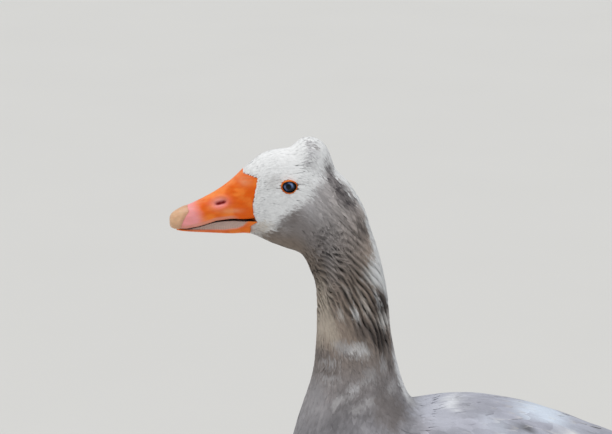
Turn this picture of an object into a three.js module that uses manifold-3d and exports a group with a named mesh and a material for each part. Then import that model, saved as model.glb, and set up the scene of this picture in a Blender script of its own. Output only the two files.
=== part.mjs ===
// A standing domestic goose with a small round crest, life size, in millimetres.
// +Z is up, the bill points along -Y and the bird's left side is +X. The origin is on the
// floor, under the middle of the bird's length.
//
// The body is one loft from the bill's root over head, neck and trunk to the rump. Each of its
// stations joins a point of the upper outline to one of the lower outline, and thin cuts across
// that loft part it into head, neck and trunk. Bill, eyes, crest, wings, tail and legs are solids
// of their own that fit against it.
import * as THREE from "three";
import { LoftGeometry } from "three/addons/geometries/LoftGeometry.js";
import { mergeVertices } from "three/addons/utils/BufferGeometryUtils.js";
import Module from "manifold-3d";

const wasm = await Module();
wasm.setup();

// ---- driving dimensions -------------------------------------------------------------------

const GAP = 0.3; // clearance between two solids that meet
// Points round a section, and sections along a loft.
const BODY_SIDES = 26;
const BILL = { rings: 12, sides: 16 };
const LOWER_MANDIBLE = { rings: 8, sides: 14 };
const THIGH = { rings: 4, sides: 16 };
const SHANK = { rings: 4, sides: 10 };
const TOE_BAR = { rings: 4, sides: 6 };
const CLAW_BAR = { rings: 3, sides: 6 };
const TAIL_FAN = { rings: 7, sides: 18 };
const WING_SIDES = 18;

const EYE_RADIUS = 7.4;
const EYE_AT = new THREE.Vector3(18.2, -190.7, 546.3); // centre of the left eyeball
const CREST_AT = new THREE.Vector3(0, -172.8, 562);
const CREST_RADII = new THREE.Vector3(19, 19, 23.4);
const LEG_SPREAD = 50; // from the middle plane to a leg
const HOCK_Z = 104;
const ANKLE_Z = 17;
const ANKLE_Y = 10;
const STRIDE = 7; // one foot is set this far forward and the other this far back
const WEB_THICKNESS = 1.8;

// Stations of the body: upper and lower outline as [y, z], half width, the height of the widest
// place as a share of the section, and roundness: 1 is an ellipse, less is squarer.
const BODY = [
  { name: "bill root", top: [-240, 549], bottom: [-237, 501.8], half: 15, widest: 0.34, round: 0.95 },
  { name: "lores", top: [-227.5, 560.8], bottom: [-223, 499.6], half: 18.5, widest: 0.4, round: 0.92 },
  { name: "forehead", top: [-213.5, 571.6], bottom: [-208.5, 492.6], half: 22, widest: 0.44, round: 0.9 },
  { name: "eye", top: [-196, 575.4], bottom: [-194, 487], half: 24.8, widest: 0.45, round: 0.9 },
  { name: "crown", top: [-173, 572.6], bottom: [-180.5, 481.8], half: 26.6, widest: 0.44, round: 0.92 },
  { name: "back of head", top: [-151.5, 556.5], bottom: [-173.4, 468], half: 27, widest: 0.46, round: 0.96 },
  { name: "nape", top: [-131, 527.5], bottom: [-169.4, 455], half: 26.8, widest: 0.5, round: 1 },
  { name: "throat", top: [-115.2, 490.5], bottom: [-168, 440], half: 26.8, widest: 0.5, round: 1 },
  { name: "upper neck", top: [-105, 447], bottom: [-167.6, 422.5], half: 27.6, widest: 0.5, round: 1 },
  { name: "middle neck", top: [-101.2, 408.4], bottom: [-168, 400], half: 29.4, widest: 0.5, round: 1 },
  { name: "lower neck", top: [-94, 375], bottom: [-171.2, 371], half: 34.5, widest: 0.5, round: 1 },
  { name: "neck base", top: [-86, 354], bottom: [-181.5, 339], half: 45, widest: 0.5, round: 1 },
  { name: "withers", top: [-76, 344], bottom: [-193, 297], half: 60, widest: 0.5, round: 0.98 },
  { name: "breast", top: [-62, 345.4], bottom: [-199.5, 252], half: 77, widest: 0.52, round: 0.96 },
  { name: "shoulder", top: [-40, 348.6], bottom: [-187, 206], half: 91, widest: 0.54, round: 0.94 },
  { name: "chest", top: [-8, 348], bottom: [-146, 162], half: 98, widest: 0.54, round: 0.93 },
  { name: "back", top: [35, 339], bottom: [-82, 137], half: 99, widest: 0.54, round: 0.93 },
  { name: "belly", top: [84, 320.5], bottom: [-4, 130], half: 93, widest: 0.55, round: 0.94 },
  { name: "loin", top: [132, 300], bottom: [76, 145], half: 78, widest: 0.56, round: 0.95 },
  { name: "vent", top: [174, 281], bottom: [146, 176], half: 58, widest: 0.56, round: 0.97 },
  { name: "tail root", top: [206, 267.5], bottom: [193, 212], half: 40, widest: 0.55, round: 1 },
  { name: "rump end", top: [226, 258], bottom: [220, 233], half: 24, widest: 0.5, round: 1 },
];

// Where thin cuts part the body, as places along BODY's stations.
const BODY_NODES = [
  { name: "head", from: 0, to: 5.45, rings: 12, slot: "head_feathers" },
  { name: "neck_upper", from: 5.45, to: 7.7, rings: 6, slot: "neck_feathers" },
  { name: "neck_middle", from: 7.7, to: 9.4, rings: 5, slot: "neck_feathers" },
  { name: "neck_lower", from: 9.4, to: 11.4, rings: 5, slot: "neck_feathers" },
  { name: "trunk", from: 11.4, to: 18.6, rings: 13, slot: "body_feathers" },
  { name: "rump", from: 18.6, to: 21, rings: 5, slot: "body_feathers" },
];

// The bill's two halves, from the tip backwards, in the same terms as BODY.
const UPPER_BILL = [
  { top: [-295, 509.4], bottom: [-294.6, 507.2], half: 2.4, widest: 0.3, round: 1 },
  { top: [-293.6, 516], bottom: [-291.5, 505.4], half: 7.2, widest: 0.2, round: 0.95 },
  { top: [-287.8, 520.8], bottom: [-286, 505.2], half: 9.8, widest: 0.12, round: 0.92 },
  { top: [-279, 525.2], bottom: [-278.5, 506], half: 11.2, widest: 0.08, round: 0.95 },
  { top: [-266, 531.5], bottom: [-267, 508.6], half: 12.2, widest: 0.06, round: 1 },
  { top: [-252, 539.7], bottom: [-254, 513.2], half: 13.4, widest: 0.05, round: 1.05 },
  { top: [-240, 549], bottom: [-241, 515.2], half: 15, widest: 0.05, round: 1.05 },
  { top: [-227.5, 560.8], bottom: [-228, 515], half: 18.3, widest: 0.07, round: 0.98 },
  { top: [-213.5, 571.6], bottom: [-215, 515], half: 21.4, widest: 0.12, round: 0.96 },
];
const LOWER_BILL = [
  { top: [-289, 505.2], bottom: [-288.6, 503.4], half: 5, widest: 0.6, round: 0.95 },
  { top: [-282, 506], bottom: [-281.5, 502.8], half: 9, widest: 0.65, round: 0.9 },
  { top: [-272, 508], bottom: [-272, 502.3], half: 10.8, widest: 0.66, round: 0.88 },
  { top: [-256, 513.4], bottom: [-256, 501.8], half: 12, widest: 0.6, round: 0.88 },
  { top: [-241, 514.8], bottom: [-241, 501.4], half: 13.6, widest: 0.56, round: 0.9 },
  { top: [-228, 514.6], bottom: [-227, 500.7], half: 16, widest: 0.56, round: 0.9 },
  { top: [-214, 514.6], bottom: [-213, 496.6], half: 17.6, widest: 0.56, round: 0.9 },
];
// Edge of the face's feathers seen from the side, [y, z], from the culmen down to the chin.
const FACE_EDGE = [
  [-231.8, 557.5], [-218.6, 552], [-221.2, 539.9], [-223.6, 529.2], [-222.6, 519.5],
  [-219.2, 515.6], [-225.4, 512.3], [-226.4, 499],
];
// Rear edge of the pale nail at the bill's tip.
const NAIL_EDGE = [[-280.2, 526.6], [-277.8, 521], [-282.6, 513.3], [-286.4, 503]];

const NOSTRIL = { at: [-249.4, 529.9], radii: [4, 5.2, 1.9], tilt: 0.3, x: 13.6 };

// The folded left wing: the section's upper and lower point as [x, z], and its half thickness.
const WING = [
  { y: -126, top: [50, 278], bottom: [60, 246], thick: 12 },
  { y: -104, top: [50, 309], bottom: [74, 214], thick: 27 },
  { y: -56, top: [54, 331], bottom: [86, 186], thick: 37 },
  { y: 0, top: [52, 332], bottom: [88, 176], thick: 40 },
  { y: 60, top: [45, 317], bottom: [84, 184], thick: 38 },
  { y: 120, top: [33, 297], bottom: [70, 204], thick: 32 },
  { y: 180, top: [18, 284], bottom: [53, 226], thick: 22 },
  { y: 235, top: [9, 273], bottom: [37, 246], thick: 9 },
  { y: 286, top: [8, 266], bottom: [24, 255], thick: 2.6 },
];
const WING_NODES = [
  { name: "wing", from: 0, to: 5.5, rings: 9 },
  { name: "wing_tip", from: 5.5, to: 8, rings: 5 },
];
const TAIL = [
  { y: 208, z: 244, half: 30, thick: 11 },
  { y: 238, z: 243.5, half: 42, thick: 8 },
  { y: 264, z: 243.5, half: 54, thick: 5.2 },
  { y: 283, z: 244.5, half: 56, thick: 3.4 },
  { y: 292, z: 245.4, half: 46, thick: 2 },
  { y: 295, z: 246, half: 26, thick: 1 },
];
// Toes: length from the ankle, angle outwards from straight ahead, and radius at the root.
const TOES = [
  { name: "inner", length: 62, angle: -0.46, radius: 5 },
  { name: "middle", length: 80, angle: 0.03, radius: 5.6 },
  { name: "outer", length: 73, angle: 0.5, radius: 5 },
];
const HIND_TOE = { length: 22, angle: Math.PI + 0.5, radius: 3.4 };
const TOE_TIP_RADIUS = 3.1;
const WEB_REACH = 0.86; // share of each toe's length that the web meets
const CLAW_LENGTH = 9;

const FINISHES = {
  head_feathers: { color: 0xe2e0da, roughness: 0.85 },
  neck_feathers: { color: 0x7d7268, roughness: 0.9 },
  body_feathers: { color: 0xa8a39e, roughness: 0.85 },
  wing_feathers: { color: 0x8d8883, roughness: 0.8 },
  bill: { color: 0xe8651a, roughness: 0.45 },
  nail: { color: 0xdcb090, roughness: 0.4 },
  eye: { color: 0x1c2a48, roughness: 0.08 },
  leg: { color: 0xe27322, roughness: 0.55 },
  claw: { color: 0x8a7462, roughness: 0.5 },
};
const materials = Object.fromEntries(
  Object.entries(FINISHES).map(([slot, look]) => [slot, new THREE.MeshStandardMaterial(look)]),
);

const goose = new THREE.Group();
const FLANKS = [["left", 1], ["right", -1]];

// ---- solids and meshes --------------------------------------------------------------------

// A closed geometry as a manifold-3d solid, with shared vertices merged.
function solid(geometry) {
  const plain = geometry.index ? geometry.toNonIndexed() : geometry.clone();
  plain.deleteAttribute("normal");
  plain.deleteAttribute("uv");
  const merged = mergeVertices(plain, 1e-4);
  const corners = merged.index.array;
  const faces = [];
  for (let i = 0; i < corners.length; i += 3) {
    const [a, b, c] = [corners[i], corners[i + 1], corners[i + 2]];
    if (a !== b && b !== c && c !== a) faces.push(a, b, c);
  }
  const made = new wasm.Mesh({
    numProp: 3,
    vertProperties: merged.attributes.position.array,
    triVerts: new Uint32Array(faces),
  });
  return new wasm.Manifold(made);
}

// The largest piece of a solid that a cut may have left in several.
function largest(made) {
  return made.decompose().sort((a, b) => b.volume() - a.volume())[0];
}

// Adds a solid to the goose as a named mesh.
function add(name, slot, made) {
  const from = made.getMesh();
  const geometry = new THREE.BufferGeometry();
  geometry.setAttribute("position", new THREE.BufferAttribute(from.vertProperties, 3));
  geometry.setIndex(new THREE.BufferAttribute(from.triVerts, 1));
  geometry.computeVertexNormals();
  const mesh = new THREE.Mesh(geometry, materials[slot]);
  mesh.name = name;
  goose.add(mesh);
}

// Smooth curves through the three rows of numbers that a list of stations holds.
function curvesOf(rows) {
  const curve = (points) => new THREE.CatmullRomCurve3(points, false, "catmullrom", 0.5);
  return {
    last: rows.length - 1,
    top: curve(rows.map((r) => new THREE.Vector3(0, ...r.top))),
    bottom: curve(rows.map((r) => new THREE.Vector3(0, ...r.bottom))),
    shape: curve(rows.map((r) => new THREE.Vector3(r.half, r.widest, r.round))),
  };
}

// One section: a rounded oval between the upper and lower point, grown outwards by `grow`.
function section(curves, station, sides, grow = 0) {
  const t = station / curves.last;
  const [top, bottom] = [curves.top.getPoint(t), curves.bottom.getPoint(t)];
  const { x: half, y: widest, z: round } = curves.shape.getPoint(t);
  const along = top.clone().sub(bottom).normalize();
  top.addScaledVector(along, grow);
  bottom.addScaledVector(along, -grow);
  const middle = bottom.clone().lerp(top, widest);
  return Array.from({ length: sides }, (_, i) => {
    const angle = (2 * Math.PI * i) / sides;
    const [s, c] = [Math.sin(angle), Math.cos(angle)];
    const end = c > 0 ? top : bottom;
    const point = middle.clone().lerp(end, Math.abs(c) ** round);
    point.x = Math.sign(s) * (half + grow) * Math.abs(s) ** round;
    return point;
  });
}

// A closed loft through the sections from one station to another.
function loft(curves, from, to, rings, sides, grow = 0) {
  const sections = Array.from({ length: rings + 1 }, (_, i) =>
    section(curves, from + ((to - from) * i) / rings, sides, grow),
  );
  return solid(new LoftGeometry(sections, { capStart: true, capEnd: true }));
}

// A closed loft through sections that are already lists of points.
function loftOf(sections) {
  return solid(new LoftGeometry(sections, { capStart: true, capEnd: true }));
}

// A slab across the whole bird whose side view is the outline given as [y, z] points.
function slab(outline, halfWidth = 60) {
  const shape = new THREE.Shape(outline.map(([y, z]) => new THREE.Vector2(y, z)));
  const geometry = new THREE.ExtrudeGeometry(shape, { depth: 2 * halfWidth, bevelEnabled: false });
  geometry.translate(0, 0, -halfWidth);
  // The shape's x, y and depth become y, z and x.
  const turn = new THREE.Matrix4().makeBasis(
    new THREE.Vector3(0, 1, 0), new THREE.Vector3(0, 0, 1), new THREE.Vector3(1, 0, 0));
  return solid(geometry.applyMatrix4(turn));
}

function ellipsoid(at, radii, tilt = 0, across = 14, down = 8) {
  const geometry = new THREE.SphereGeometry(1, across, down);
  geometry.rotateX(Math.PI / 2);
  geometry.scale(radii.x, radii.y, radii.z);
  geometry.rotateX(tilt);
  geometry.translate(at.x, at.y, at.z);
  return solid(geometry);
}

// A tapered bar with round section between two points, ended by flat caps.
function taper(from, to, radii, rings, sides) {
  const axis = to.clone().sub(from).normalize();
  const side = new THREE.Vector3(1, 0, 0);
  const front = new THREE.Vector3().crossVectors(axis, side).normalize();
  side.crossVectors(front, axis);
  const sections = Array.from({ length: rings + 1 }, (_, i) => {
    const share = i / rings;
    const { across, deep } = radii(share);
    const middle = from.clone().lerp(to, share);
    return Array.from({ length: sides }, (_, j) => {
      const angle = (2 * Math.PI * j) / sides;
      return middle
        .clone()
        .addScaledVector(side, across * Math.cos(angle))
        .addScaledVector(front, deep * Math.sin(angle));
    });
  });
  return loftOf(sections);
}

// ---- head, neck and trunk -----------------------------------------------------------------

const body = curvesOf(BODY);
// Half the clearance at a cut, as a share of a station, from the shorter of the two outlines.
function cutShare(station) {
  const step = 0.02;
  const span = (curve) =>
    curve.getPoint((station + step) / body.last).distanceTo(curve.getPoint(station / body.last));
  return (GAP * 0.6 * step) / Math.max(0.05, Math.min(span(body.top), span(body.bottom)));
}

// Behind the feathers' edge, and before it, for parting bill and face with GAP between.
const REACH = 130; // how far the parting slabs run past the head
function edgeSlab(edge, shift, towards) {
  const [first, last] = [edge[0], edge[edge.length - 1]];
  const line = edge.map(([y, z]) => [y + shift, z]);
  return slab([
    ...line,
    [last[0] + shift, last[1] - REACH],
    [last[0] + towards * REACH, last[1] - REACH],
    [last[0] + towards * REACH, first[1] + REACH],
    [first[0] + shift, first[1] + REACH],
  ]);
}
const face = edgeSlab(FACE_EDGE, GAP / 2, 1);
const beforeFace = edgeSlab(FACE_EDGE, -GAP / 2, -1);

const eyeAt = (side) => EYE_AT.clone().multiply(new THREE.Vector3(side, 1, 1));
const round = (r) => new THREE.Vector3(r, r, r);

const parts = {};
const grown = {}; // the same solids with the clearance round them, for cutting what fits against them
for (const { name, from, to, rings } of BODY_NODES) {
  const start = from === 0 ? from : from + cutShare(from);
  const end = to === body.last ? to : to - cutShare(to);
  parts[name] = loft(body, start, end, rings, BODY_SIDES);
  grown[name] = loft(body, start, end, rings, BODY_SIDES, GAP);
}
parts.head = parts.head.intersect(face);
for (const [, side] of FLANKS)
  parts.head = parts.head.subtract(ellipsoid(eyeAt(side), round(EYE_RADIUS + GAP)));
for (const { name, slot } of BODY_NODES) add(name, slot, largest(parts[name]));

for (const [label, side] of FLANKS)
  add("eye_" + label, "eye", ellipsoid(eyeAt(side), round(EYE_RADIUS)));

add("crest", "head_feathers", largest(ellipsoid(CREST_AT, CREST_RADII, 0, 16, 10).subtract(grown.head)));

// ---- bill ---------------------------------------------------------------------------------

const upper = curvesOf(UPPER_BILL);
const lower = curvesOf(LOWER_BILL);
let upperBill = loft(upper, 0, upper.last, BILL.rings, BILL.sides).intersect(beforeFace);
for (const [, side] of FLANKS) {
  const at = new THREE.Vector3(side * NOSTRIL.x, ...NOSTRIL.at);
  upperBill = upperBill.subtract(ellipsoid(at, new THREE.Vector3(...NOSTRIL.radii), NOSTRIL.tilt, 8, 6));
}
add("bill_nail", "nail", largest(upperBill.intersect(edgeSlab(NAIL_EDGE, -GAP / 2, -1))));
add("bill_upper", "bill", largest(upperBill.intersect(edgeSlab(NAIL_EDGE, GAP / 2, 1))));
const upperGrown = loft(upper, 0, upper.last, BILL.rings, BILL.sides, GAP);
const lowerBill = loft(lower, 0, lower.last, LOWER_MANDIBLE.rings, LOWER_MANDIBLE.sides)
  .intersect(beforeFace)
  .subtract(upperGrown);
add("bill_lower", "bill", largest(lowerBill));

// ---- legs ---------------------------------------------------------------------------------

// Everything under the floor, for giving the feet flat soles.
const underFloor = slab([[-200, -40], [200, -40], [200, 0], [-200, 0]], 140);

function toeBar(ankle, toe, start, end) {
  const way = new THREE.Vector3(Math.sin(toe.angle), -Math.cos(toe.angle), 0);
  const height = (share) => THREE.MathUtils.lerp(ANKLE_Z * 0.45, TOE_TIP_RADIUS * 0.6, share ** 0.6);
  const at = (share) => ankle.clone().addScaledVector(way, toe.length * share).setZ(height(share));
  const { rings, sides } = TOE_BAR;
  const across = new THREE.Vector3(-way.y, way.x, 0);
  const sections = Array.from({ length: rings + 1 }, (_, i) => {
    const share = start + ((end - start) * i) / rings;
    const swell = 1 + 0.1 * Math.cos(share * 3.5 * 2 * Math.PI); // the joints' pads
    const radius = THREE.MathUtils.lerp(toe.radius, TOE_TIP_RADIUS, share) * swell;
    return Array.from({ length: sides }, (_, j) => {
      const angle = (2 * Math.PI * j) / sides;
      return at(share)
        .addScaledVector(across, radius * Math.cos(angle))
        .add(new THREE.Vector3(0, 0, radius * Math.sin(angle)));
    });
  });
  return loftOf(sections);
}

// The web: a flat fan whose front edge is a hollow curve from toe to toe.
function webPlate(ankle, toes) {
  const tip = (toe) =>
    new THREE.Vector2(
      ankle.x + Math.sin(toe.angle) * toe.length * WEB_REACH,
      ankle.y - Math.cos(toe.angle) * toe.length * WEB_REACH,
    );
  const root = new THREE.Vector2(ankle.x, ankle.y);
  const shape = new THREE.Shape();
  shape.moveTo(root.x, root.y);
  toes.forEach((toe, i) => {
    const to = tip(toe);
    if (i === 0) shape.lineTo(to.x, to.y);
    else {
      const hollow = tip(toes[i - 1]).lerp(to, 0.5).lerp(root, 0.16);
      shape.quadraticCurveTo(hollow.x, hollow.y, to.x, to.y);
    }
  });
  return solid(new THREE.ExtrudeGeometry(shape, {
    depth: WEB_THICKNESS, bevelEnabled: false, curveSegments: 5,
  }));
}

// A claw: a short curved spike that starts where its toe ends.
function claw(ankle, toe) {
  const way = new THREE.Vector3(Math.sin(toe.angle), -Math.cos(toe.angle), 0);
  const across = new THREE.Vector3(-way.y, way.x, 0);
  const { rings, sides } = CLAW_BAR;
  const sections = Array.from({ length: rings + 1 }, (_, i) => {
    const share = i / rings;
    const radius = TOE_TIP_RADIUS * 0.82 * (1 - share) ** 0.7 + 0.35;
    const at = ankle.clone().addScaledVector(way, toe.length + GAP + CLAW_LENGTH * share);
    at.z = TOE_TIP_RADIUS * (1.05 - 0.62 * share ** 2);
    return Array.from({ length: sides }, (_, j) => {
      const angle = (2 * Math.PI * j) / sides;
      return at.clone()
        .addScaledVector(across, 0.8 * radius * Math.cos(angle))
        .add(new THREE.Vector3(0, 0, radius * Math.sin(angle)));
    });
  });
  return loftOf(sections).subtract(underFloor);
}

for (const [label, side] of FLANKS) {
  const x = side * LEG_SPREAD;
  const shift = -side * STRIDE;
  const hip = new THREE.Vector3(x, 2 + shift / 2, 178);
  const hock = new THREE.Vector3(x, 34 + shift, HOCK_Z);
  const ankle = new THREE.Vector3(x, ANKLE_Y + shift, ANKLE_Z * 0.45);
  const shankFoot = new THREE.Vector3(x, ANKLE_Y + shift + 1, ANKLE_Z);
  const thigh = taper(hip, hock, (share) => {
    const across = THREE.MathUtils.lerp(29, 9.5, share ** 0.8);
    return { across, deep: THREE.MathUtils.lerp(44, 12, share ** 0.8) };
  }, THIGH.rings, THIGH.sides);
  const shankOf = (grow) => {
    const reach = shankFoot.clone().sub(hock).setLength(grow);
    return taper(hock.clone().sub(reach), shankFoot.clone().add(reach), (share) => {
      const joint = 0.24 * (2 * share - 1) ** 4; // the joints' swelling
      return { across: 5.4 * (1 + joint) + grow, deep: 7.2 * (1 + joint) + grow };
    }, SHANK.rings, SHANK.sides);
  };
  add("thigh_" + label, "body_feathers", largest(thigh.subtract(grown.trunk).subtract(shankOf(GAP))));
  add("shank_" + label, "leg", shankOf(0));

  // Toes spread outwards on the bird's own side.
  const toes = TOES.map((toe) => ({ ...toe, angle: toe.angle * side }));
  if (side < 0) toes.reverse();
  const ball = ellipsoid(new THREE.Vector3(x, ankle.y, 7), new THREE.Vector3(8.5, 9.5, 9.6), 0, 10, 6);
  let foot = ball.add(webPlate(ankle, toes));
  for (const toe of toes) foot = foot.add(toeBar(ankle, toe, 0, 1));
  const hind = { ...HIND_TOE, angle: HIND_TOE.angle * side };
  foot = foot.add(toeBar(ankle, hind, 0, 1)).subtract(underFloor);
  add("foot_" + label, "leg", largest(foot.subtract(shankOf(GAP))));
  for (const toe of [...TOES.map((t) => ({ ...t, angle: t.angle * side })), { ...hind, name: "hind" }])
    add(`claw_${toe.name ?? "hind"}_${label}`, "claw", claw(ankle, toe));
}

// ---- tail and wings -----------------------------------------------------------------------

const spline = (points) => new THREE.CatmullRomCurve3(points, false, "catmullrom", 0.5);

function tailSolid(grow) {
  const middle = spline(TAIL.map((r) => new THREE.Vector3(0, r.y, r.z)));
  const size = spline(TAIL.map((r) => new THREE.Vector3(r.half, r.thick, 0)));
  const { rings, sides } = TAIL_FAN;
  return loftOf(Array.from({ length: rings + 1 }, (_, i) => {
    const at = middle.getPoint(i / rings);
    const { x: half, y: thick } = size.getPoint(i / rings);
    return Array.from({ length: sides }, (_, j) => {
      const angle = (2 * Math.PI * j) / sides;
      const bow = -0.05 * half * Math.abs(Math.sin(angle)) ** 2;
      return new THREE.Vector3(
        (half + grow) * Math.sin(angle),
        at.y,
        at.z + bow + (thick + grow) * Math.cos(angle),
      );
    });
  }));
}
add("tail", "wing_feathers", largest(tailSolid(0).subtract(grown.rump)));

// A short grown length of the body over the cut in front of a node, so that no wing enters the cut.
function cuff(name) {
  const { from } = BODY_NODES.find((node) => node.name === name);
  return loft(body, from - 2 * cutShare(from), from + 2 * cutShare(from), 1, BODY_SIDES, GAP);
}
const keepOut = [grown.neck_lower, cuff("trunk"), grown.trunk, cuff("rump"), grown.rump, tailSolid(GAP)]
  .reduce((all, one) => all.add(one));
const wingMiddle = spline(WING.map((r) => new THREE.Vector3(
  (r.top[0] + r.bottom[0]) / 2, r.y, (r.top[1] + r.bottom[1]) / 2)));
const wingReach = spline(WING.map((r) => new THREE.Vector3(
  (r.top[0] - r.bottom[0]) / 2, (r.top[1] - r.bottom[1]) / 2, r.thick)));

// One section of a folded wing: an oval along the line from its lower to its upper point.
function wingSection(station, side) {
  const t = station / (WING.length - 1);
  const at = wingMiddle.getPoint(t);
  const reach = wingReach.getPoint(t);
  const sides = WING_SIDES;
  const length = Math.hypot(reach.x, reach.y);
  const out = [reach.y / length, -reach.x / length];
  const points = Array.from({ length: sides }, (_, j) => {
    const angle = (2 * Math.PI * j) / sides;
    const [c, s] = [Math.cos(angle), Math.sin(angle)];
    return new THREE.Vector3(
      side * (at.x + reach.x * c + out[0] * reach.z * s),
      at.y,
      at.z + reach.y * c + out[1] * reach.z * s,
    );
  });
  return side > 0 ? points : points.reverse();
}

for (const [label, side] of FLANKS)
  for (const { name, from, to, rings } of WING_NODES) {
    const start = from + (from > 0 ? 0.004 : 0);
    const end = to - (to < WING.length - 1 ? 0.004 : 0);
    const whole = loftOf(Array.from({ length: rings + 1 }, (_, i) =>
      wingSection(start + ((end - start) * i) / rings, side)));
    add(`${name}_${label}`, "wing_feathers", largest(whole.subtract(keepOut)));
  }

export default goose;
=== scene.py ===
import bpy
import numpy as np
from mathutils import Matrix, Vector
from mathutils.bvhtree import BVHTree


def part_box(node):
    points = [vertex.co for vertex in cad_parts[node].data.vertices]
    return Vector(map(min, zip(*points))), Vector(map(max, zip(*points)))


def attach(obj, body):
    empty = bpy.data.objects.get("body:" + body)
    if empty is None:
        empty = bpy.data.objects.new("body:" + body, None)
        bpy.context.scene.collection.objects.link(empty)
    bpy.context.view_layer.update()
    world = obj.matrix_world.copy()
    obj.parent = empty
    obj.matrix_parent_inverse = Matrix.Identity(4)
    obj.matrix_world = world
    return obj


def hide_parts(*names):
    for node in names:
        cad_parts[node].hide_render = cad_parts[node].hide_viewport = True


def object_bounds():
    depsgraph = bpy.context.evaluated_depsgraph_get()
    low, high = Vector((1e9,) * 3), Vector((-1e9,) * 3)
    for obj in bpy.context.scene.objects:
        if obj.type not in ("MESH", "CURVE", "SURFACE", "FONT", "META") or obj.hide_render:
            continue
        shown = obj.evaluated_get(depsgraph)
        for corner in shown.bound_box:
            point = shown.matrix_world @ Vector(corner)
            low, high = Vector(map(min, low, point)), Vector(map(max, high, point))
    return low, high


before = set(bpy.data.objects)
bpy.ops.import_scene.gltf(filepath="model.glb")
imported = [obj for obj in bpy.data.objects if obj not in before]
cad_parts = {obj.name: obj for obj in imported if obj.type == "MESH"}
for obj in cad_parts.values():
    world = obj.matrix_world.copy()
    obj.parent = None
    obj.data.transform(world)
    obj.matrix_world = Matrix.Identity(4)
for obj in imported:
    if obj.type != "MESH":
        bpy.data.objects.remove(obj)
cad_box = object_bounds()

# A standing domestic goose: one skin over head, neck, trunk and tail, a coat of feathers laid on
# it as closed vanes and tufts, and bill, eyes, legs and claws of their own. Lengths are written
# in millimetres and become metres through MM. The bill points along -Y, +X is the bird's left.

MM = 0.001
TURN = 2 * np.pi
SIDES_OF_BIRD = [("left", 1), ("right", -1)]
SIDE_DROP = 0.23  # height lost to the eye for each step outwards


# ---- small tools --------------------------------------------------------------------------

def unit(v):
    """Each vector divided by its length."""
    return v / np.maximum(np.linalg.norm(v, axis=-1, keepdims=True), 1e-12)


def ramp(x, low, high):
    """0 below low, 1 above high, and 3t^2 - 2t^3 between them."""
    t = np.clip((x - low) / (high - low), 0, 1)
    return t * t * (3 - 2 * t)


def blend(a, b, share):
    """a where share is 0, b where it is 1."""
    return a + (b - a) * share


def bell(x, at, width, power=2):
    """1 where x is at the given value, falling on both sides as exp(-|distance / width| ** power)."""
    return np.exp(-np.abs((x - at) / width) ** power)


def turned(y, z, at, lean):
    """How far a place of the side view lies from a point, along a line that leans by an angle and
    square to it."""
    y, z = y - at[0], z - at[1]
    return y * np.cos(lean) + z * np.sin(lean), z * np.cos(lean) - y * np.sin(lean)


def from_back(a):
    """Angle from the middle of the back: 0 there and pi below, alike on both sides."""
    return np.abs(np.mod(a + np.pi, TURN) - np.pi)


def side_view(points):
    """Place along Y and height, in millimetres, as the eye has them from a little above the side:
    what lies nearer to it looks lower, on either flank."""
    return points[..., 1] / MM, (points[..., 2] - SIDE_DROP * np.abs(points[..., 0])) / MM


def around(columns):
    """Angles of evenly spaced columns round a closed surface."""
    return TURN * np.arange(columns) / columns


def along(rows, places):
    """Rows of numbers read at fractional places. Each stretch is a cubic whose slope at a row is
    half the step between its neighbours."""
    rows = np.asarray(rows, float)
    padded = np.vstack([2 * rows[:1] - rows[1:2], rows, 2 * rows[-1:] - rows[-2:-1]])
    first = np.clip(np.floor(places).astype(int), 0, len(rows) - 2)
    t = (places - first)[..., None]
    a, b, c, d = (padded[first + k] for k in range(4))
    return b + 0.5 * t * (c - a + t * (2 * a - 5 * b + 4 * c - d + t * (3 * (b - c) + d - a)))


def colour(red, green, blue):
    """A display colour, 0 to 255, as linear light."""
    shade = np.array([red, green, blue]) / 255
    return np.where(shade > 0.04045, ((shade + 0.055) / 1.055) ** 2.4, shade / 12.92)


def cloud(points, size, seed=0):
    """Smooth noise from -1 to 1: scrambled numbers at the corners of a cubic lattice of the given
    size, blended between the eight corners round each point."""
    spot = np.asarray(points) / size
    cell = np.floor(spot).astype(np.int64)
    t = spot - cell
    t = t * t * (3 - 2 * t)
    total = np.zeros(spot.shape[:-1])
    for corner in np.ndindex(2, 2, 2):
        k = cell + np.array(corner)
        mixed = (k[..., 0] * 73856093) ^ (k[..., 1] * 19349663) ^ (k[..., 2] * 83492791)
        mixed = ((mixed ^ (seed * 971 + 17)) * 2654435761) & 0xFFFFFFFF
        mixed = ((mixed ^ (mixed >> 15)) * 2246822519) & 0xFFFFFFFF
        value = ((mixed ^ (mixed >> 13)) & 0xFFFF) / 32767.5 - 1
        weight = np.where(np.array(corner) == 1, t, 1 - t).prod(axis=-1)
        total += weight * value
    return total


def add_object(name, data):
    """A new object in the scene, unturned at the origin."""
    made = bpy.data.objects.new(name, data)
    bpy.context.scene.collection.objects.link(made)
    return made


def set_tint(mesh, tint):
    """The colour of each point, with an alpha of 0 where none is given."""
    if tint.shape[1] == 3:
        tint = np.hstack([tint, np.zeros((len(tint), 1))])
    layer = mesh.color_attributes.new(name="tint", type="FLOAT_COLOR", domain="POINT")
    layer.data.foreach_set("color", tint.astype(np.float32).ravel())


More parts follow.
